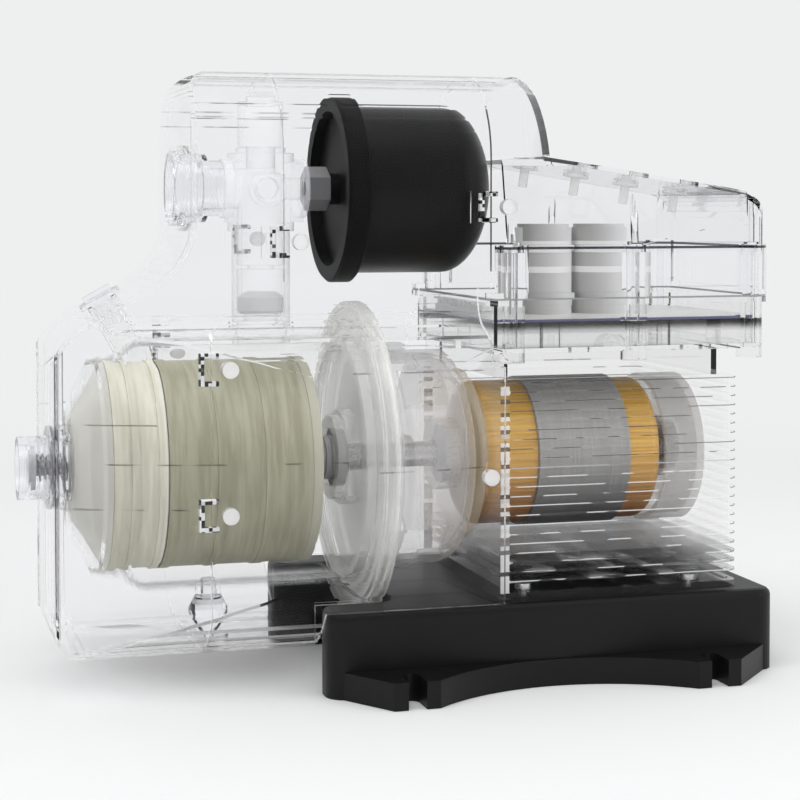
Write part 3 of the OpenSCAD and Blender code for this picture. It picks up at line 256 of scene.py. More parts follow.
def noise(tree, vector, scale, detail=3.0, rough=0.5):
    made = node(tree, "ShaderNodeTexNoise")
    made.inputs["Detail"].default_value = detail
    made.inputs["Roughness"].default_value = rough
    join(tree, vector, made.inputs["Vector"])
    if isinstance(scale, (int, float)):
        made.inputs["Scale"].default_value = scale
    else:
        join(tree, scale, made.inputs["Scale"])
    return made.outputs["Fac"]


grain = {"broad": 14.0, "broadDetail": 4.0, "fineDetail": 2.0, "blend": 0.5}
barrel = {"detail": 3.0, "rough": 0.6}
clearDrift = {"scale": 30.0, "span": 0.6, "low": 0.7}


def buildGrainGroup():  # fine moulded grain: colour drift, roughness drift and a small bump height
    group, start, end = newGroup(
        "mouldedGrain",
        [("Dark", "NodeSocketColor", (0.01, 0.01, 0.01, 1)),
         ("Light", "NodeSocketColor", (0.02, 0.02, 0.02, 1)),
         ("Grain Scale", "NodeSocketFloat", 900.0), ("Rough Low", "NodeSocketFloat", 0.4),
         ("Rough High", "NodeSocketFloat", 0.55)],
        [("Colour", "NodeSocketColor"), ("Roughness", "NodeSocketFloat"), ("Height", "NodeSocketFloat")])
    spot = node(group, "ShaderNodeTexCoord", -700, 200).outputs["Object"]
    broad = noise(group, spot, grain["broad"], grain["broadDetail"])
    fine = noise(group, spot, start.outputs["Grain Scale"], grain["fineDetail"])
    tone = mixColour(group, broad, start.outputs["Dark"], start.outputs["Light"])
    join(group, tone, end.inputs["Colour"])
    both = mathNode(group, "MULTIPLY", mathNode(group, "ADD", broad, fine), grain["blend"])
    span = mathNode(group, "SUBTRACT", start.outputs["Rough High"], start.outputs["Rough Low"])
    rough = mathNode(group, "ADD", start.outputs["Rough Low"], mathNode(group, "MULTIPLY", span, both))
    join(group, rough, end.inputs["Roughness"])
    join(group, fine, end.inputs["Height"])
    return group


def buildBarrelGroup():  # noise drawn round the shaft, long the way that the smaller scale says
    group, start, end = newGroup(
        "barrelGrain",
        [("Along", "NodeSocketFloat", 30.0), ("Around", "NodeSocketFloat", 20.0),
         ("Axis Height", "NodeSocketFloat", 0.114)],
        [("Value", "NodeSocketFloat"), ("Station", "NodeSocketFloat"), ("Level", "NodeSocketFloat")])
    spot = node(group, "ShaderNodeTexCoord", -800, 0).outputs["Object"]
    split = node(group, "ShaderNodeSeparateXYZ")
    join(group, spot, split.inputs[0])
    level = mathNode(group, "SUBTRACT", split.outputs["Z"], start.outputs["Axis Height"])
    flat = node(group, "ShaderNodeCombineXYZ")
    join(group, split.outputs["Y"], flat.inputs[0])
    join(group, level, flat.inputs[1])
    unit = node(group, "ShaderNodeVectorMath", operation="NORMALIZE")
    join(group, flat.outputs[0], unit.inputs[0])
    wide = node(group, "ShaderNodeVectorMath", operation="SCALE")
    join(group, unit.outputs[0], wide.inputs[0])
    join(group, start.outputs["Around"], wide.inputs["Scale"])
    long = node(group, "ShaderNodeCombineXYZ")
    join(group, mathNode(group, "MULTIPLY", split.outputs["X"], start.outputs["Along"]), long.inputs[2])
    both = node(group, "ShaderNodeVectorMath", operation="ADD")
    join(group, wide.outputs[0], both.inputs[0])
    join(group, long.outputs[0], both.inputs[1])
    made = noise(group, both.outputs[0], 1.0, barrel["detail"], barrel["rough"])
    join(group, made, end.inputs["Value"])
    join(group, split.outputs["X"], end.inputs["Station"])
    join(group, level, end.inputs["Level"])
    return group


def buildClearGroup():  # how strongly clear plastic shows, from how it is faced; the edge colour is painted where it is seen edge on, and where darker than the face colour it is painted shade, the dark lines clear plastic shows there
    group, start, end = newGroup(
        "clearEdge",
        [("Facing", "NodeSocketFloat", 0.0), ("Power", "NodeSocketFloat", 4.0),
         ("Face", "NodeSocketFloat", 0.02), ("Edge", "NodeSocketFloat", 0.6),
         ("Face Colour", "NodeSocketColor", (0.9, 0.9, 0.92, 1)),
         ("Edge Colour", "NodeSocketColor", (0.2, 0.2, 0.22, 1))],
        [("Colour", "NodeSocketColor"), ("Cover", "NodeSocketFloat")])
    raised = mathNode(group, "POWER", start.outputs["Facing"], start.outputs["Power"])
    join(group, mixColour(group, raised, start.outputs["Face Colour"], start.outputs["Edge Colour"]),
         end.inputs["Colour"])
    span = mathNode(group, "SUBTRACT", start.outputs["Edge"], start.outputs["Face"])
    spot = node(group, "ShaderNodeTexCoord", -700, 200).outputs["Object"]
    drift = mathNode(group, "MULTIPLY", noise(group, spot, clearDrift["scale"]), clearDrift["span"])
    drift = mathNode(group, "ADD", drift, clearDrift["low"])
    face = mathNode(group, "MULTIPLY", start.outputs["Face"], drift)
    join(group, mathNode(group, "ADD", face, mathNode(group, "MULTIPLY", span, raised), clamp=True),
         end.inputs["Cover"])
    return group


grainGroup = buildGrainGroup()
barrelGroup = buildBarrelGroup()
clearGroup = buildClearGroup()


def newMaterial(name):
    mat = bpy.data.materials.new(name)
    mat.use_nodes = True
    tree = mat.node_tree
    return mat, tree, tree.nodes["Principled BSDF"]


def useGroup(tree, group, **values):
    made = node(tree, "ShaderNodeGroup")
    made.node_tree = group
    for label, value in values.items():
        made.inputs[label.replace("_", " ")].default_value = value
    return made


def colour4(c):
    return (*c, 1.0)


def addBump(tree, shader, height, distance, strength=0.5):
    lift = node(tree, "ShaderNodeBump")
    lift.inputs["Strength"].default_value = strength
    lift.inputs["Distance"].default_value = distance
    join(tree, height, lift.inputs["Height"])
    join(tree, lift.outputs[0], shader.inputs["Normal"])


plainMould = {"rough": (0.4, 0.55), "grain": 900.0, "bump": 0.00003, "shine": 0.5, "metallic": 0.0}


def moulded(name, look):  # a solid moulding or plain metal; what the look leaves out is plainMould's
    mat, tree, shader = newMaterial(name)
    look = {**plainMould, **look}
    low, high = look["rough"]
    made = useGroup(tree, grainGroup, Dark=colour4(look["dark"]), Light=colour4(look["light"]),
                    Grain_Scale=look["grain"], Rough_Low=low, Rough_High=high)
    join(tree, made.outputs["Colour"], shader.inputs["Base Color"])
    join(tree, made.outputs["Roughness"], shader.inputs["Roughness"])
    addBump(tree, shader, made.outputs["Height"], look["bump"])
    shader.inputs["Specular IOR Level"].default_value = look["shine"]
    shader.inputs["Metallic"].default_value = look["metallic"]
    return mat


def facing(tree):  # 0 where a surface is seen square on, 1 where it is seen edge on
    weight = node(tree, "ShaderNodeLayerWeight")
    weight.inputs["Blend"].default_value = 0.5
    return weight.outputs["Facing"]


def edgeTint(tree, turned, look, face, edge):
    made = useGroup(tree, clearGroup, Power=look["power"], Face=face, Edge=edge,
                    Face_Colour=colour4(look["faceColour"]), Edge_Colour=colour4(look["edgeColour"]))
    join(tree, turned, made.inputs["Facing"])
    return made


def thinClear(name, look):  # thin frosted plastic, stronger at its edges
    mat, tree, shader = newMaterial(name)
    made = edgeTint(tree, facing(tree), look, look["face"], look["edge"])
    join(tree, made.outputs["Colour"], shader.inputs["Base Color"])
    join(tree, made.outputs["Cover"], shader.inputs["Alpha"])
    if "warm" in look:
        place = axes(tree, node(tree, "ShaderNodeTexCoord").outputs["Object"])
        start, end, tint = look["warm"]
        warmth = step(tree, place["X"], start, end)
        join(tree, mixColour(tree, warmth, made.outputs["Colour"], tint), shader.inputs["Base Color"])
    shader.inputs["Roughness"].default_value = look["rough"]
    return mat


wallHairlines = {  # broken hairlines in the side walls of a clear moulding, and its parting line
    "stretch": (60.0, 0.0, 300.0), "broken": (0.44, 0.56), "flank": (0.6, 0.7), "half": 0.00022,
    "ink": (0.3, 0.3, 0.31), "seamInk": (0.01, 0.01, 0.012), "seamFacing": -0.2,
    "stepHalf": 0.0015, "stepFacing": 0.97,
}


def glass(name, look):  # clear plastic that bends light, thinned where it is seen edge on
    mat, tree, shader = newMaterial(name)
    turned = facing(tree)
    made = edgeTint(tree, turned, look, 0.0, 1.0)
    tone = made.outputs["Colour"]
    if "shadeBand" in look:
        place = axes(tree, node(tree, "ShaderNodeTexCoord").outputs["Object"])
        low, high, top, tint = look["shadeBand"]
        # painted shade: a dark line at the rim
        shadeMask = mathNode(tree, "MULTIPLY", step(tree, place["Z"], low, high),
                         mathNode(tree, "LESS_THAN", place["Z"], top))
        tone = mixColour(tree, shadeMask, tone, tint)
    if "lines" in look:
        marks = wallHairlines
        coords = node(tree, "ShaderNodeTexCoord")
        place = axes(tree, coords.outputs["Object"])
        stretch = node(tree, "ShaderNodeMapping")
        stretch.inputs["Scale"].default_value = marks["stretch"]
        join(tree, coords.outputs["Object"], stretch.inputs["Vector"])
        faced = axes(tree, coords.outputs["Normal"])
        flank = step(tree, mathNode(tree, "ABSOLUTE", faced["Y"]), *marks["flank"])
        broken = step(tree, noise(tree, stretch.outputs[0], 1.0, 1.0), *marks["broken"])
        broken = mathNode(tree, "MULTIPLY", flank, broken)
        for height, start, end in look["lines"]:
            near = mathNode(tree, "LESS_THAN", distance(tree, place["Z"], height), marks["half"])
            on = keepBetween(tree, mathNode(tree, "MULTIPLY", near, broken), place["X"], start, end)
            tone = mixColour(tree, on, tone, marks["ink"])
        # the parting line, on the inside of the front wall and shoulder
        middle, half, limit = look["seam"]
        near = mathNode(tree, "LESS_THAN", distance(tree, place["Y"], middle), half)
        forward = mathNode(tree, "LESS_THAN", faced["X"], marks["seamFacing"])
        on = mathNode(tree, "MULTIPLY", near, forward)
        on = mathNode(tree, "MULTIPLY", on, mathNode(tree, "LESS_THAN", place["X"], limit))
        inside = node(tree, "ShaderNodeNewGeometry").outputs["Backfacing"]
        seam = mathNode(tree, "MULTIPLY", on, inside)
        tone = mixColour(tree, seam, tone, marks["seamInk"])
    join(tree, tone, shader.inputs["Base Color"])
    shader.inputs["Roughness"].default_value = 0.0
    shader.inputs["IOR"].default_value = look["ior"]
    shader.inputs["Transmission Weight"].default_value = 1.0
    low, high, amount = look["fade"]
    thin = mathNode(tree, "MULTIPLY", step(tree, turned, low, high), amount)
    if "lines" in look:
        thin = mathNode(tree, "MULTIPLY", thin, mathNode(tree, "SUBTRACT", 1.0, seam))
        # the step where the two halves lie on each other is clear right through
        height, start, end = look["step"]
        near = mathNode(tree, "LESS_THAN", distance(tree, place["Z"], height), marks["stepHalf"])
        level = mathNode(tree, "ABSOLUTE", faced["Z"])
        flat = mathNode(tree, "GREATER_THAN", level, marks["stepFacing"])
        on = keepBetween(tree, mathNode(tree, "MULTIPLY", near, flat), place["X"], start, end)
        thin = mathNode(tree, "MAXIMUM", thin, on)
    join(tree, mathNode(tree, "SUBTRACT", 1.0, thin), shader.inputs["Alpha"])
    path = node(tree, "ShaderNodeLightPath")
    through = node(tree, "ShaderNodeBsdfTransparent")
    through.inputs["Color"].default_value = colour4(look["shadow"])
    mix = node(tree, "ShaderNodeMixShader")
    join(tree, path.outputs["Is Shadow Ray"], mix.inputs[0])
    join(tree, shader.outputs[0], mix.inputs[1])
    join(tree, through.outputs[0], mix.inputs[2])
    join(tree, mix.outputs[0], tree.nodes["Material Output"].inputs["Surface"])
    return mat


def dress(mat, *names):
    for name in names:
        slots = nodes[name].data.materials
        slots.clear()
        slots.append(mat)


baseBlack = {"dark": (0.004, 0.004, 0.0043), "light": (0.008, 0.008, 0.0085),
             "rough": (0.36, 0.48), "shine": 0.22}
tankBlack = {"dark": (0.0025, 0.0025, 0.0025), "light": (0.005, 0.005, 0.005),
             "rough": (0.28, 0.38), "grain": 400.0, "shine": 0.15}
collarBlack = {"dark": (0.002, 0.002, 0.002), "light": (0.004, 0.004, 0.004),
               "rough": (0.45, 0.55), "grain": 400.0, "shine": 0.08}
nutGrey = {"dark": (0.14, 0.14, 0.145), "light": (0.2, 0.2, 0.205), "rough": (0.35, 0.5)}
dress(moulded("baseBlack", baseBlack), "base")
tankFinish = moulded("tankBlack", tankBlack)
tankForm = {"dome": 0.025, "wall": 0.0022, "steps": 96, "rings": 14, "sharp": 40}


def buildTank(form):  # the drawn can with its domed end, spun in one smooth sheet and given its wall
    low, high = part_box("tank_shell")
    radius = (high[2] - low[2]) / 2
    height = (high[2] + low[2]) / 2
    shoulder = high[0] - form["dome"]
    made = bmesh.new()
    line = [(low[0], radius)]
    for i in range(form["rings"] + 1):
        turn = math.pi / 2 * i / form["rings"]
        line.append((shoulder + form["dome"] * math.sin(turn), radius * math.cos(turn)))
    inner = form["dome"] - form["wall"]
    for i in range(form["rings"], -1, -1):
        turn = math.pi / 2 * i / form["rings"]
        line.append((shoulder + inner * math.sin(turn), (radius - form["wall"]) * math.cos(turn)))
    line.append((low[0], radius - form["wall"]))
    verts = [made.verts.new((x, 0, max(r, 0.0))) for x, r in line]
    edges = [made.edges.new((verts[i], verts[(i + 1) % len(verts)])) for i in range(len(verts))]
    bmesh.ops.spin(made, geom=verts + edges, cent=(0, 0, 0), axis=(1, 0, 0), dvec=(0, 0, 0),
                   angle=math.tau, steps=form["steps"], use_merge=True, use_duplicate=False)
    bmesh.ops.remove_doubles(made, verts=made.verts, dist=1e-6)
    bmesh.ops.dissolve_degenerate(made, edges=made.edges, dist=1e-7)
    bmesh.ops.recalc_face_normals(made, faces=made.faces)
    bmesh.ops.translate(made, verts=made.verts, vec=(0, 0, height))
    mesh = bpy.data.meshes.new("pressureTank")
    made.to_mesh(mesh)
    made.free()
    mesh.shade_smooth()
    mesh.set_sharp_from_angle(angle=math.radians(form["sharp"]))
    tank = bpy.data.objects.new("pressureTank", mesh)
    scene.collection.objects.link(tank)
    tank.data.materials.append(tankFinish)
    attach(tank, "chassis")
    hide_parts("tank_shell")


buildTank(tankForm)
dress(moulded("collarBlack", collarBlack), "tank_collar")
dress(moulded("nutGrey", nutGrey), "tank_nut")
print("base and tank ready")

brightSteel = {"dark": (0.5, 0.5, 0.5), "light": (0.62, 0.62, 0.62),
               "rough": (0.2, 0.35), "metallic": 1.0}
steelFinish = moulded("brightSteel", brightSteel)
dress(steelFinish, "base_screws", "shaft", "shaft_nut", "bearing_front", "bearing_rear")
springForm = {"stroke": 0.005, "sharp": 50}


def buildSpring(form):  # the valve's coil, copied from its part and smooth shaded; the real coil shortens against its cage as the poppet opens, but this one stays fixed to the chassis
    made = bmesh.new()
    made.from_mesh(nodes["check_spring"].data)
    bmesh.ops.remove_doubles(made, verts=made.verts, dist=1e-6)
    mesh = bpy.data.meshes.new("valveSpring")
    made.to_mesh(mesh)
    made.free()
    mesh.shade_smooth()
    mesh.set_sharp_from_angle(angle=math.radians(form["sharp"]))
    mesh.materials.clear()
    spring = bpy.data.objects.new("valveSpring", mesh)
    scene.collection.objects.link(spring)
    spring.data.materials.append(steelFinish)
    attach(spring, "chassis")
    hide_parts("check_spring")
    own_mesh(spring)


buildSpring(springForm)

sealRubber = {"dark": (0.02, 0.02, 0.02), "light": (0.035, 0.035, 0.035), "rough": (0.6, 0.75)}
sealGrey = {"dark": (0.40, 0.40, 0.40), "light": (0.48, 0.48, 0.48), "rough": (0.5, 0.65)}
gasketGrey = {"dark": (0.32, 0.325, 0.34), "light": (0.4, 0.405, 0.42), "rough": (0.5, 0.65)}
dress(moulded("sealRubber", sealRubber), "inlet_gasket", "tank_diaphragm")
dress(moulded("sealGrey", sealGrey), "seal_rotating", "seal_stationary")
dress(moulded("gasketGrey", gasketGrey), "box_gasket")
print("metal and rubber ready")

impellerBuff = {"dark": (0.36, 0.345, 0.27), "light": (0.43, 0.415, 0.33), "rough": (0.45, 0.6)}
diffuserOlive = {"dark": (0.27, 0.262, 0.2), "light": (0.33, 0.32, 0.25), "rough": (0.45, 0.6)}
dress(moulded("impellerBuff", impellerBuff), "impeller_1", "impeller_2", "impeller_3")
dress(moulded("diffuserOlive", diffuserOlive), "diffuser_1", "diffuser_2", "diffuser_3")
streakSpan = (0.3, 0.7)
sleeveOlive = {
    "low": (0.30, 0.29, 0.20), "high": (0.41, 0.40, 0.295), "edge": (0.50, 0.49, 0.39),
    "along": 260.0, "around": 1.4, "edgeFrom": -0.128, "edgeTo": -0.120, "rough": 0.5, "bump": 0.0002,
}
bowlCream = {
    "low": (0.58, 0.565, 0.455), "high": (0.70, 0.685, 0.575), "edge": (0.74, 0.73, 0.66),
    "along": 300.0, "around": 1.6, "edgeFrom": -0.201, "edgeTo": -0.199, "rough": 0.45, "bump": 0.0002,
}


def streaked(name, look):  # moulded rings with fine streaks round them and a paler rim
    mat, tree, shader = newMaterial(name)
    made = useGroup(tree, barrelGroup, Along=look["along"], Around=look["around"])
    streak = step(tree, made.outputs["Value"], *streakSpan)
    tone = mixColour(tree, streak, look["low"], look["high"])
    edge = step(tree, made.outputs["Station"], look["edgeFrom"], look["edgeTo"])
    join(tree, mixColour(tree, edge, tone, look["edge"]), shader.inputs["Base Color"])
    shader.inputs["Roughness"].default_value = look["rough"]
    addBump(tree, shader, made.outputs["Value"], look["bump"])
    return mat


dress(streaked("sleeveOlive", sleeveOlive), "stage_sleeve")
dress(streaked("bowlCream", bowlCream), "first_bowl")
coneCream = {"faceColour": (0.88, 0.87, 0.80), "edgeColour": (0.74, 0.73, 0.68),
             "face": 0.36, "edge": 0.85, "power": 2.0, "rough": 0.35}
dress(thinClear("coneCream", coneCream), "suction_cone")
print("stages ready")

stackSteel = {
    "low": (0.36, 0.355, 0.345), "high": (0.44, 0.43, 0.42),
    "face": (0.4, 0.4, 0.4), "faceFrom": 0.002, "faceTo": 0.004,
    "sag": (0.22, 0.22, 0.225), "sagFrom": -0.036, "sagTo": 0.020,
    "along": 900.0, "around": 1.5, "rough": 0.5, "bump": 0.00004,
}
windingGold = {
    "low": (0.56, 0.29, 0.035), "high": (0.84, 0.50, 0.085),
    "face": (0.66, 0.60, 0.50), "faceFrom": -0.024, "faceTo": -0.0215,
    "sag": (0.45, 0.31, 0.2), "sagFrom": -0.036, "sagTo": 0.016,
    "along": 14.0, "around": 22.0, "rough": 0.4, "bump": 0.0007,
}


def winding(name, look):  # the lower side is darkened by painted shade, from the shaft's height downwards
    mat, tree, shader = newMaterial(name)
    made = useGroup(tree, barrelGroup, Along=look["along"], Around=look["around"])
    strand = step(tree, made.outputs["Value"], *streakSpan)
    tone = mixColour(tree, strand, look["low"], look["high"])
    face = step(tree, made.outputs["Station"], look["faceFrom"], look["faceTo"])
    tone = mixColour(tree, face, look["face"], tone)
    # painted shade: darker towards the bottom
    level = step(tree, made.outputs["Level"], look["sagFrom"], look["sagTo"])
    shade = mixColour(tree, level, look["sag"], (1.0, 1.0, 1.0))
    join(tree, mixColour(tree, 1.0, tone, shade, "MULTIPLY"), shader.inputs["Base Color"])
    shader.inputs["Roughness"].default_value = look["rough"]
    addBump(tree, shader, made.outputs["Value"], look["bump"])
    return mat


dress(winding("stackSteel", stackSteel), "stator_stack", "rotor_core")
dress(winding("windingGold", windingGold), "winding_front", "winding_rear")
print("motor ready")

boardPale = {"top": (0.70, 0.71, 0.69), "edge": (0.13, 0.13, 0.30), "underneathShade": (0.05, 0.055, 0.05),
             "underneathShadeSpan": (-0.6, -0.4), "topSpan": (0.4, 0.6), "drift": 220.0,
             "driftTone": (0.86, 0.86, 0.86), "rough": 0.35, "bump": 0.00004}
capGrey = {"near": (0.36, 0.355, 0.345), "far": (0.84, 0.84, 0.84), "gap": (0.86, 0.86, 0.85),
           "from": 0.006, "span": 0.032, "gaps": ((0.2259, 0.2321), (0.2147, 0.2181)), "rough": 0.4,
           "grain": 300.0, "bump": 0.00005}
stripWhite = {"dark": (0.6, 0.6, 0.6), "light": (0.7, 0.7, 0.7)}


def board(name, look):  # pale on top; painted shade darkens its edge, which keeps a blue tint, and its underside
    mat, tree, shader = newMaterial(name)
    faced = axes(tree, node(tree, "ShaderNodeTexCoord").outputs["Normal"])
    # painted shade by which way the face looks: dark underneath and along the edge, pale on top
    tone = mixColour(tree, step(tree, faced["Z"], *look["underneathShadeSpan"]), look["underneathShade"], look["edge"])
    tone = mixColour(tree, step(tree, faced["Z"], *look["topSpan"]), tone, look["top"])
    spot = node(tree, "ShaderNodeTexCoord").outputs["Object"]
    drift = noise(tree, spot, look["drift"])
    shade = mixColour(tree, drift, look["driftTone"], (1.0, 1.0, 1.0))
    join(tree, mixColour(tree, 1.0, tone, shade, "MULTIPLY"), shader.inputs["Base Color"])
    shader.inputs["Roughness"].default_value = look["rough"]
    addBump(tree, shader, drift, look["bump"])
    return mat


dress(board("boardPale", boardPale), "circuit_board")


def banded(name, look):  # painted light and shade: each can fades from grey to white as if lit from one side, and pale painted highlights cross it at the heights of the cover's rim
    mat, tree, shader = newMaterial(name)
    coords = node(tree, "ShaderNodeTexCoord")
    place = axes(tree, coords.outputs["Object"])
    along = mathNode(tree, "DIVIDE", mathNode(tree, "SUBTRACT", place["X"], look["from"]), look["span"])
    # painted shade fading to painted light along each can
    tone = mixColour(tree, mathNode(tree, "FRACT", along), look["near"], look["far"])
    for low, high in look["gaps"]:
        above = mathNode(tree, "GREATER_THAN", place["Z"], low)
        below = mathNode(tree, "LESS_THAN", place["Z"], high)
        tone = mixColour(tree, mathNode(tree, "MULTIPLY", above, below), tone, look["gap"])
    join(tree, tone, shader.inputs["Base Color"])
    shader.inputs["Roughness"].default_value = look["rough"]
    addBump(tree, shader, noise(tree, coords.outputs["Object"], look["grain"]), look["bump"])
    return mat


dress(banded("capGrey", capGrey), "capacitors")
dress(moulded("stripWhite", stripWhite), "connector_strip", "check_poppet", "check_cage", "flow_piston")
print("controls ready")

# fade: from and to how far edge on, and how much; lines: height, from and to along the shaft
coverClear = {
    "faceColour": (0.985, 0.985, 0.99), "edgeColour": (0.88, 0.88, 0.90), "power": 6.0, "ior": 1.12,
    "fade": (0.66, 0.92, 0.86), "shadow": (0.98, 0.98, 0.985),
    "seam": (-0.045, 0.0013, -0.1812), "step": (0.190, -0.182, -0.139),
    "lines": (
        (0.2960, -0.205, -0.10), (0.3040, -0.185, -0.085), (0.1422, -0.258, -0.207),
        (0.1225, -0.250, -0.113), (0.0999, -0.258, -0.190), (0.1669, -0.110, -0.039),
        (0.1167, -0.097, -0.039), (0.1840, -0.150, -0.125),
    ),
}
wetClear = {"faceColour": (0.98, 0.98, 0.975), "edgeColour": (0.82, 0.82, 0.83), "power": 5.0,
            "ior": 1.09, "fade": (0.55, 0.85, 0.93), "shadow": (0.97, 0.97, 0.975)}
boxClear = {"faceColour": (0.98, 0.98, 0.985), "edgeColour": (0.5, 0.51, 0.56), "power": 5.0,
            "ior": 1.42, "fade": (0.8, 0.97, 0.2), "shadow": (0.95, 0.95, 0.96)}
housingClear = {
    "face": 0.03, "edge": 0.4, "power": 5.0, "rough": 0.12,
    "faceColour": (0.84, 0.84, 0.84), "edgeColour": (0.55, 0.55, 0.56),
    "dark": (0.05, 0.05, 0.05), "pale": (0.86, 0.86, 0.86), "axis": 0.114, "axisBlend": 0.004,
    "firstFin": 0.053, "pitch": 0.005, "half": 0.14, "line": 0.055, "dash": 0.72,
    "dashScale": (70.0, 20.0, 260.0), "dashSpan": (0.46, 0.52), "ledgeSpan": (0.5, 0.7), "ledge": 0.012,
    "rim": 0.0695, "rimBlend": 0.001, "cornerFrom": 0.1055, "cornerIn": 0.006, "cornerBlend": 0.0005,
    "wallTo": -0.0207, "cellsPerFin": 2.2, "cellShare": 0.15, "cellSpan": (0.5, 0.7),
    "mirrorFrom": 0.060, "mirrorTo": 0.078, "mirror": 0.6, "mirrorScale": 0.7, "mirrorSpan": (0.5, 0.62),
    "mirrorDark": (0.02, 0.02, 0.022), "mirrorPale": (0.8, 0.8, 0.8),
}
fittingClear = {"faceColour": (0.96, 0.96, 0.98), "edgeColour": (0.6, 0.6, 0.7), "power": 4.0,
                "ior": 1.42, "fade": (0.8, 0.97, 0.3), "shadow": (0.95, 0.95, 0.96)}
flangeFrost = {"faceColour": (0.78, 0.78, 0.75), "edgeColour": (0.86, 0.86, 0.82),
               "face": 0.16, "edge": 0.75, "power": 2.0, "rough": 0.3}
bellFrost = {"faceColour": (0.66, 0.65, 0.65), "edgeColour": (0.72, 0.72, 0.72),
             "face": 0.2, "edge": 0.6, "power": 2.5, "rough": 0.3,
             "warm": (-0.040, -0.034, (0.72, 0.60, 0.42))}
blockFrost = {"faceColour": (0.78, 0.78, 0.8), "edgeColour": (0.6, 0.6, 0.63),
              "face": 0.10, "edge": 0.6, "power": 2.5, "rough": 0.25}
buttonFrost = {"faceColour": (0.62, 0.62, 0.6), "edgeColour": (0.7, 0.7, 0.7),
               "face": 0.3, "edge": 0.6, "power": 2.0, "rough": 0.4}
dress(glass("coverClear", coverClear), "front_cover", "rear_cover", "tower_cap")
dress(glass("wetClear", wetClear), "pump_casing")
# the band is a painted dark line of shade at the rim, that rises between two heights and ends at the
# third
trayClear = {**boxClear, "faceColour": (0.945, 0.945, 0.94),
             "shadeBand": (0.1830, 0.1890, 0.1902, (0.06, 0.06, 0.058))}
lidClear = {**boxClear, "shadeBand": (0.2286, 0.2289, 0.2301, (0.10, 0.10, 0.12))}
dress(glass("lidClear", lidClear), "control_cover")
dress(glass("trayClear", trayClear), "control_tray")


def finned(name, look):  # clear fins whose rims show as dashes, painted dark over the shaft and pale under it as the shade and highlights the clear rims throw
    mat, tree, shader = newMaterial(name)
    made = edgeTint(tree, facing(tree), look, look["face"], look["edge"])
    coords = node(tree, "ShaderNodeTexCoord")
    faced = axes(tree, coords.outputs["Normal"])
    place = axes(tree, coords.outputs["Object"])
    ledge = step(tree, mathNode(tree, "ABSOLUTE", faced["Z"]), *look["ledgeSpan"])
    # one thin line in the middle of each fin's rim
    rise = mathNode(tree, "SUBTRACT", place["Z"], look["firstFin"])
    phase = mathNode(tree, "FRACT", mathNode(tree, "DIVIDE", rise, look["pitch"]))
    line = mathNode(tree, "LESS_THAN", distance(tree, phase, look["half"]), look["line"])
    rim, inner = look["rim"], look["rim"] - look["cornerIn"]
    side = step(tree, mathNode(tree, "ABSOLUTE", place["Y"]), rim - look["rimBlend"], rim)
    stretch = node(tree, "ShaderNodeMapping")
    stretch.inputs["Scale"].default_value = look["dashScale"]
    join(tree, coords.outputs["Object"], stretch.inputs["Vector"])
    broken = step(tree, noise(tree, stretch.outputs[0], 1.0, 0.0), *look["dashSpan"])
    behind = step(tree, place["X"], look["cornerFrom"], look["cornerFrom"] + look["cornerBlend"])
    outer = step(tree, mathNode(tree, "ABSOLUTE", place["Y"]), inner, inner + look["cornerBlend"])
    end = mathNode(tree, "MULTIPLY", behind, outer)
    shown = mathNode(tree, "MAXIMUM", mathNode(tree, "MULTIPLY", side, broken), end)
    # the front wall's edge shows its fins as a ladder of painted pale and dark cells, painted light and
    # shade standing in for the light its rounded corner bends
    wall = mathNode(tree, "MULTIPLY", side, mathNode(tree, "LESS_THAN", place["X"], look["wallTo"]))
    cell = node(tree, "ShaderNodeTexWhiteNoise", noise_dimensions="1D")
    count = mathNode(tree, "MULTIPLY", place["Z"], look["cellsPerFin"] / look["pitch"])
    join(tree, mathNode(tree, "FLOOR", count), cell.inputs["W"])
    chosen = mathNode(tree, "GREATER_THAN", cell.outputs["Value"], look["cellShare"])
    rung = mathNode(tree, "MULTIPLY", wall, chosen)
    line = mathNode(tree, "MAXIMUM", line, rung)
    elsewhere = mathNode(tree, "MULTIPLY", shown, mathNode(tree, "SUBTRACT", 1.0, wall))
    shown = mathNode(tree, "MAXIMUM", elsewhere, rung)
    upright = mathNode(tree, "SUBTRACT", 1.0, ledge)
    mark = mathNode(tree, "MULTIPLY", mathNode(tree, "MULTIPLY", line, shown), upright)
    # the dash ink is painted shade over the shaft and painted highlight under it
    above = step(tree, place["Z"], look["axis"] - look["axisBlend"], look["axis"] + look["axisBlend"])
    above = mathNode(tree, "MAXIMUM", above, mathNode(tree, "MAXIMUM", end, wall))
    ink = mixColour(tree, above, look["pale"], look["dark"])
    cellTone = step(tree, cell.outputs["Value"], *look["cellSpan"])
    ink = mixColour(tree, wall, ink, mixColour(tree, cellTone, look["pale"], look["dark"]))
    # the lowest fins' ledges get a painted reflection of the black base, dark with pale streaks
    low = mathNode(tree, "SUBTRACT", 1.0, step(tree, place["Z"], look["mirrorFrom"], look["mirrorTo"]))
    low = mathNode(tree, "MULTIPLY", low, ledge)
    streak = step(tree, noise(tree, stretch.outputs[0], look["mirrorScale"], 2.0), *look["mirrorSpan"])
    mirror = mixColour(tree, streak, look["mirrorDark"], look["mirrorPale"])
    tone = mixColour(tree, low, made.outputs["Colour"], mirror)
    join(tree, mixColour(tree, mark, tone, ink), shader.inputs["Base Color"])
    clear = mathNode(tree, "MULTIPLY", made.outputs["Cover"], upright)
    cover = mathNode(tree, "ADD", clear, mathNode(tree, "MULTIPLY", low, look["mirror"]))
    cover = mathNode(tree, "ADD", cover, mathNode(tree, "MULTIPLY", ledge, look["ledge"]))
    cover = mathNode(tree, "MAXIMUM", cover, mathNode(tree, "MULTIPLY", mark, look["dash"]))
    join(tree, cover, shader.inputs["Alpha"])
    shader.inputs["Roughness"].default_value = look["rough"]
    return mat


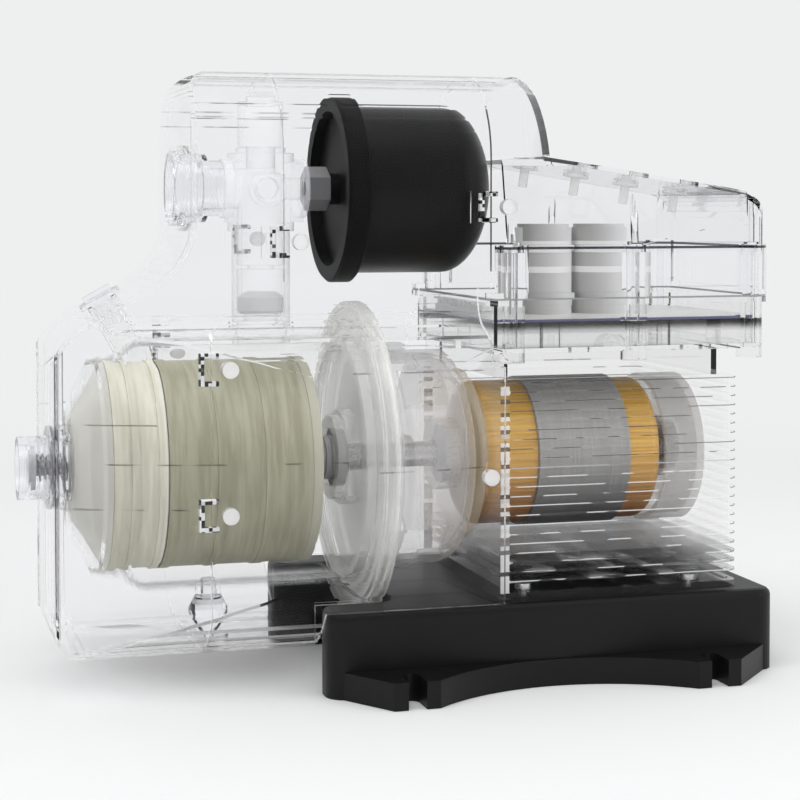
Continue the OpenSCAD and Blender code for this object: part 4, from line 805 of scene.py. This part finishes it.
dress(finned("housingClear", housingClear), "motor_housing")
dress(glass("fittingClear", fittingClear), "inlet_adapter", "outlet_fitting", "priming_plug",
      "drain_plug", "box_screws")
pinFrost = {"faceColour": (0.92, 0.92, 0.92), "edgeColour": (0.22, 0.22, 0.23),
            "face": 0.62, "edge": 0.9, "power": 2.0, "rough": 0.3}
shieldFrost = {"faceColour": (0.55, 0.54, 0.53), "edgeColour": (0.84, 0.84, 0.82),
               "face": 0.26, "edge": 0.7, "power": 1.6, "rough": 0.3}
dress(thinClear("pinFrost", pinFrost), "cover_screws")
clipForm = {
    "places": (
        (-0.182, 0.170, 0.0782), (-0.182, 0.097, 0.0782),
        (-0.140, 0.233, 0.0522), (-0.0285, 0.251, 0.0575),
    ),
    "width": 0.010, "height": 0.0165, "arm": 0.0026, "depth": 0.0035, "edge": 0.0003,
}
clipCells = {"cell": (0.0019, 0.02, 0.0019), "dark": (0.012, 0.012, 0.012), "pale": (0.82, 0.82, 0.82),
             "toneSpan": (0.45, 0.55), "rough": 0.15, "drift": 900.0, "driftRough": 0.1}


def buildClips(form, mat):  # the U-shaped seats moulded beside the cover pins, open towards them
    made = bmesh.new()
    w, h, arm = form["width"] / 2, form["height"] / 2, form["arm"]
    outline = ((w, -h), (-w, -h), (-w, h), (w, h),
               (w, h - arm), (-w + arm, h - arm), (-w + arm, -h + arm), (w, -h + arm))
    for x, z, y in form["places"]:
        for side in (-1, 1):
            face = made.faces.new([made.verts.new((x + a, side * y, z + b)) for a, b in outline])
            grown = bmesh.ops.extrude_face_region(made, geom=[face])
            raised = [v for v in grown["geom"] if isinstance(v, bmesh.types.BMVert)]
            bmesh.ops.translate(made, verts=raised, vec=(0, -side * form["depth"], 0))
    bmesh.ops.recalc_face_normals(made, faces=made.faces)
    bmesh.ops.bevel(made, geom=made.edges[:], offset=form["edge"], offset_type="OFFSET",
                    affect="EDGES", segments=1, profile=0.5, material=-1)
    mesh = bpy.data.meshes.new("coverClips")
    made.to_mesh(mesh)
    made.free()
    clips = bpy.data.objects.new("coverClips", mesh)
    scene.collection.objects.link(clips)
    clips.data.materials.append(mat)
    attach(clips, "chassis")


def cells(name, look):  # painted light and shade: clear cells coloured dark or pale at random, standing in for light the clips bend one way or the other
    mat, tree, shader = newMaterial(name)
    coords = node(tree, "ShaderNodeTexCoord").outputs["Object"]
    snapped = node(tree, "ShaderNodeVectorMath", operation="SNAP")
    join(tree, coords, snapped.inputs[0])
    snapped.inputs[1].default_value = look["cell"]
    made = node(tree, "ShaderNodeTexWhiteNoise", noise_dimensions="3D")
    join(tree, snapped.outputs[0], made.inputs["Vector"])
    tone = step(tree, made.outputs["Value"], *look["toneSpan"])
    join(tree, mixColour(tree, tone, look["dark"], look["pale"]), shader.inputs["Base Color"])
    drift = mathNode(tree, "MULTIPLY", noise(tree, coords, look["drift"]), look["driftRough"])
    join(tree, mathNode(tree, "ADD", look["rough"], drift), shader.inputs["Roughness"])
    return mat


buildClips(clipForm, cells("clipCells", clipCells))
dress(thinClear("shieldFrost", shieldFrost), "end_shield")
dress(thinClear("flangeFrost", flangeFrost), "flange_plate")
dress(thinClear("bellFrost", bellFrost), "motor_bracket")
dress(thinClear("blockFrost", blockFrost), "riser_pipe", "valve_block", "pressure_sensor",
      "flow_cap", "cable_gland")
dress(thinClear("buttonFrost", buttonFrost), "button_1", "button_2", "button_3", "button_4")
print("clear mouldings ready")
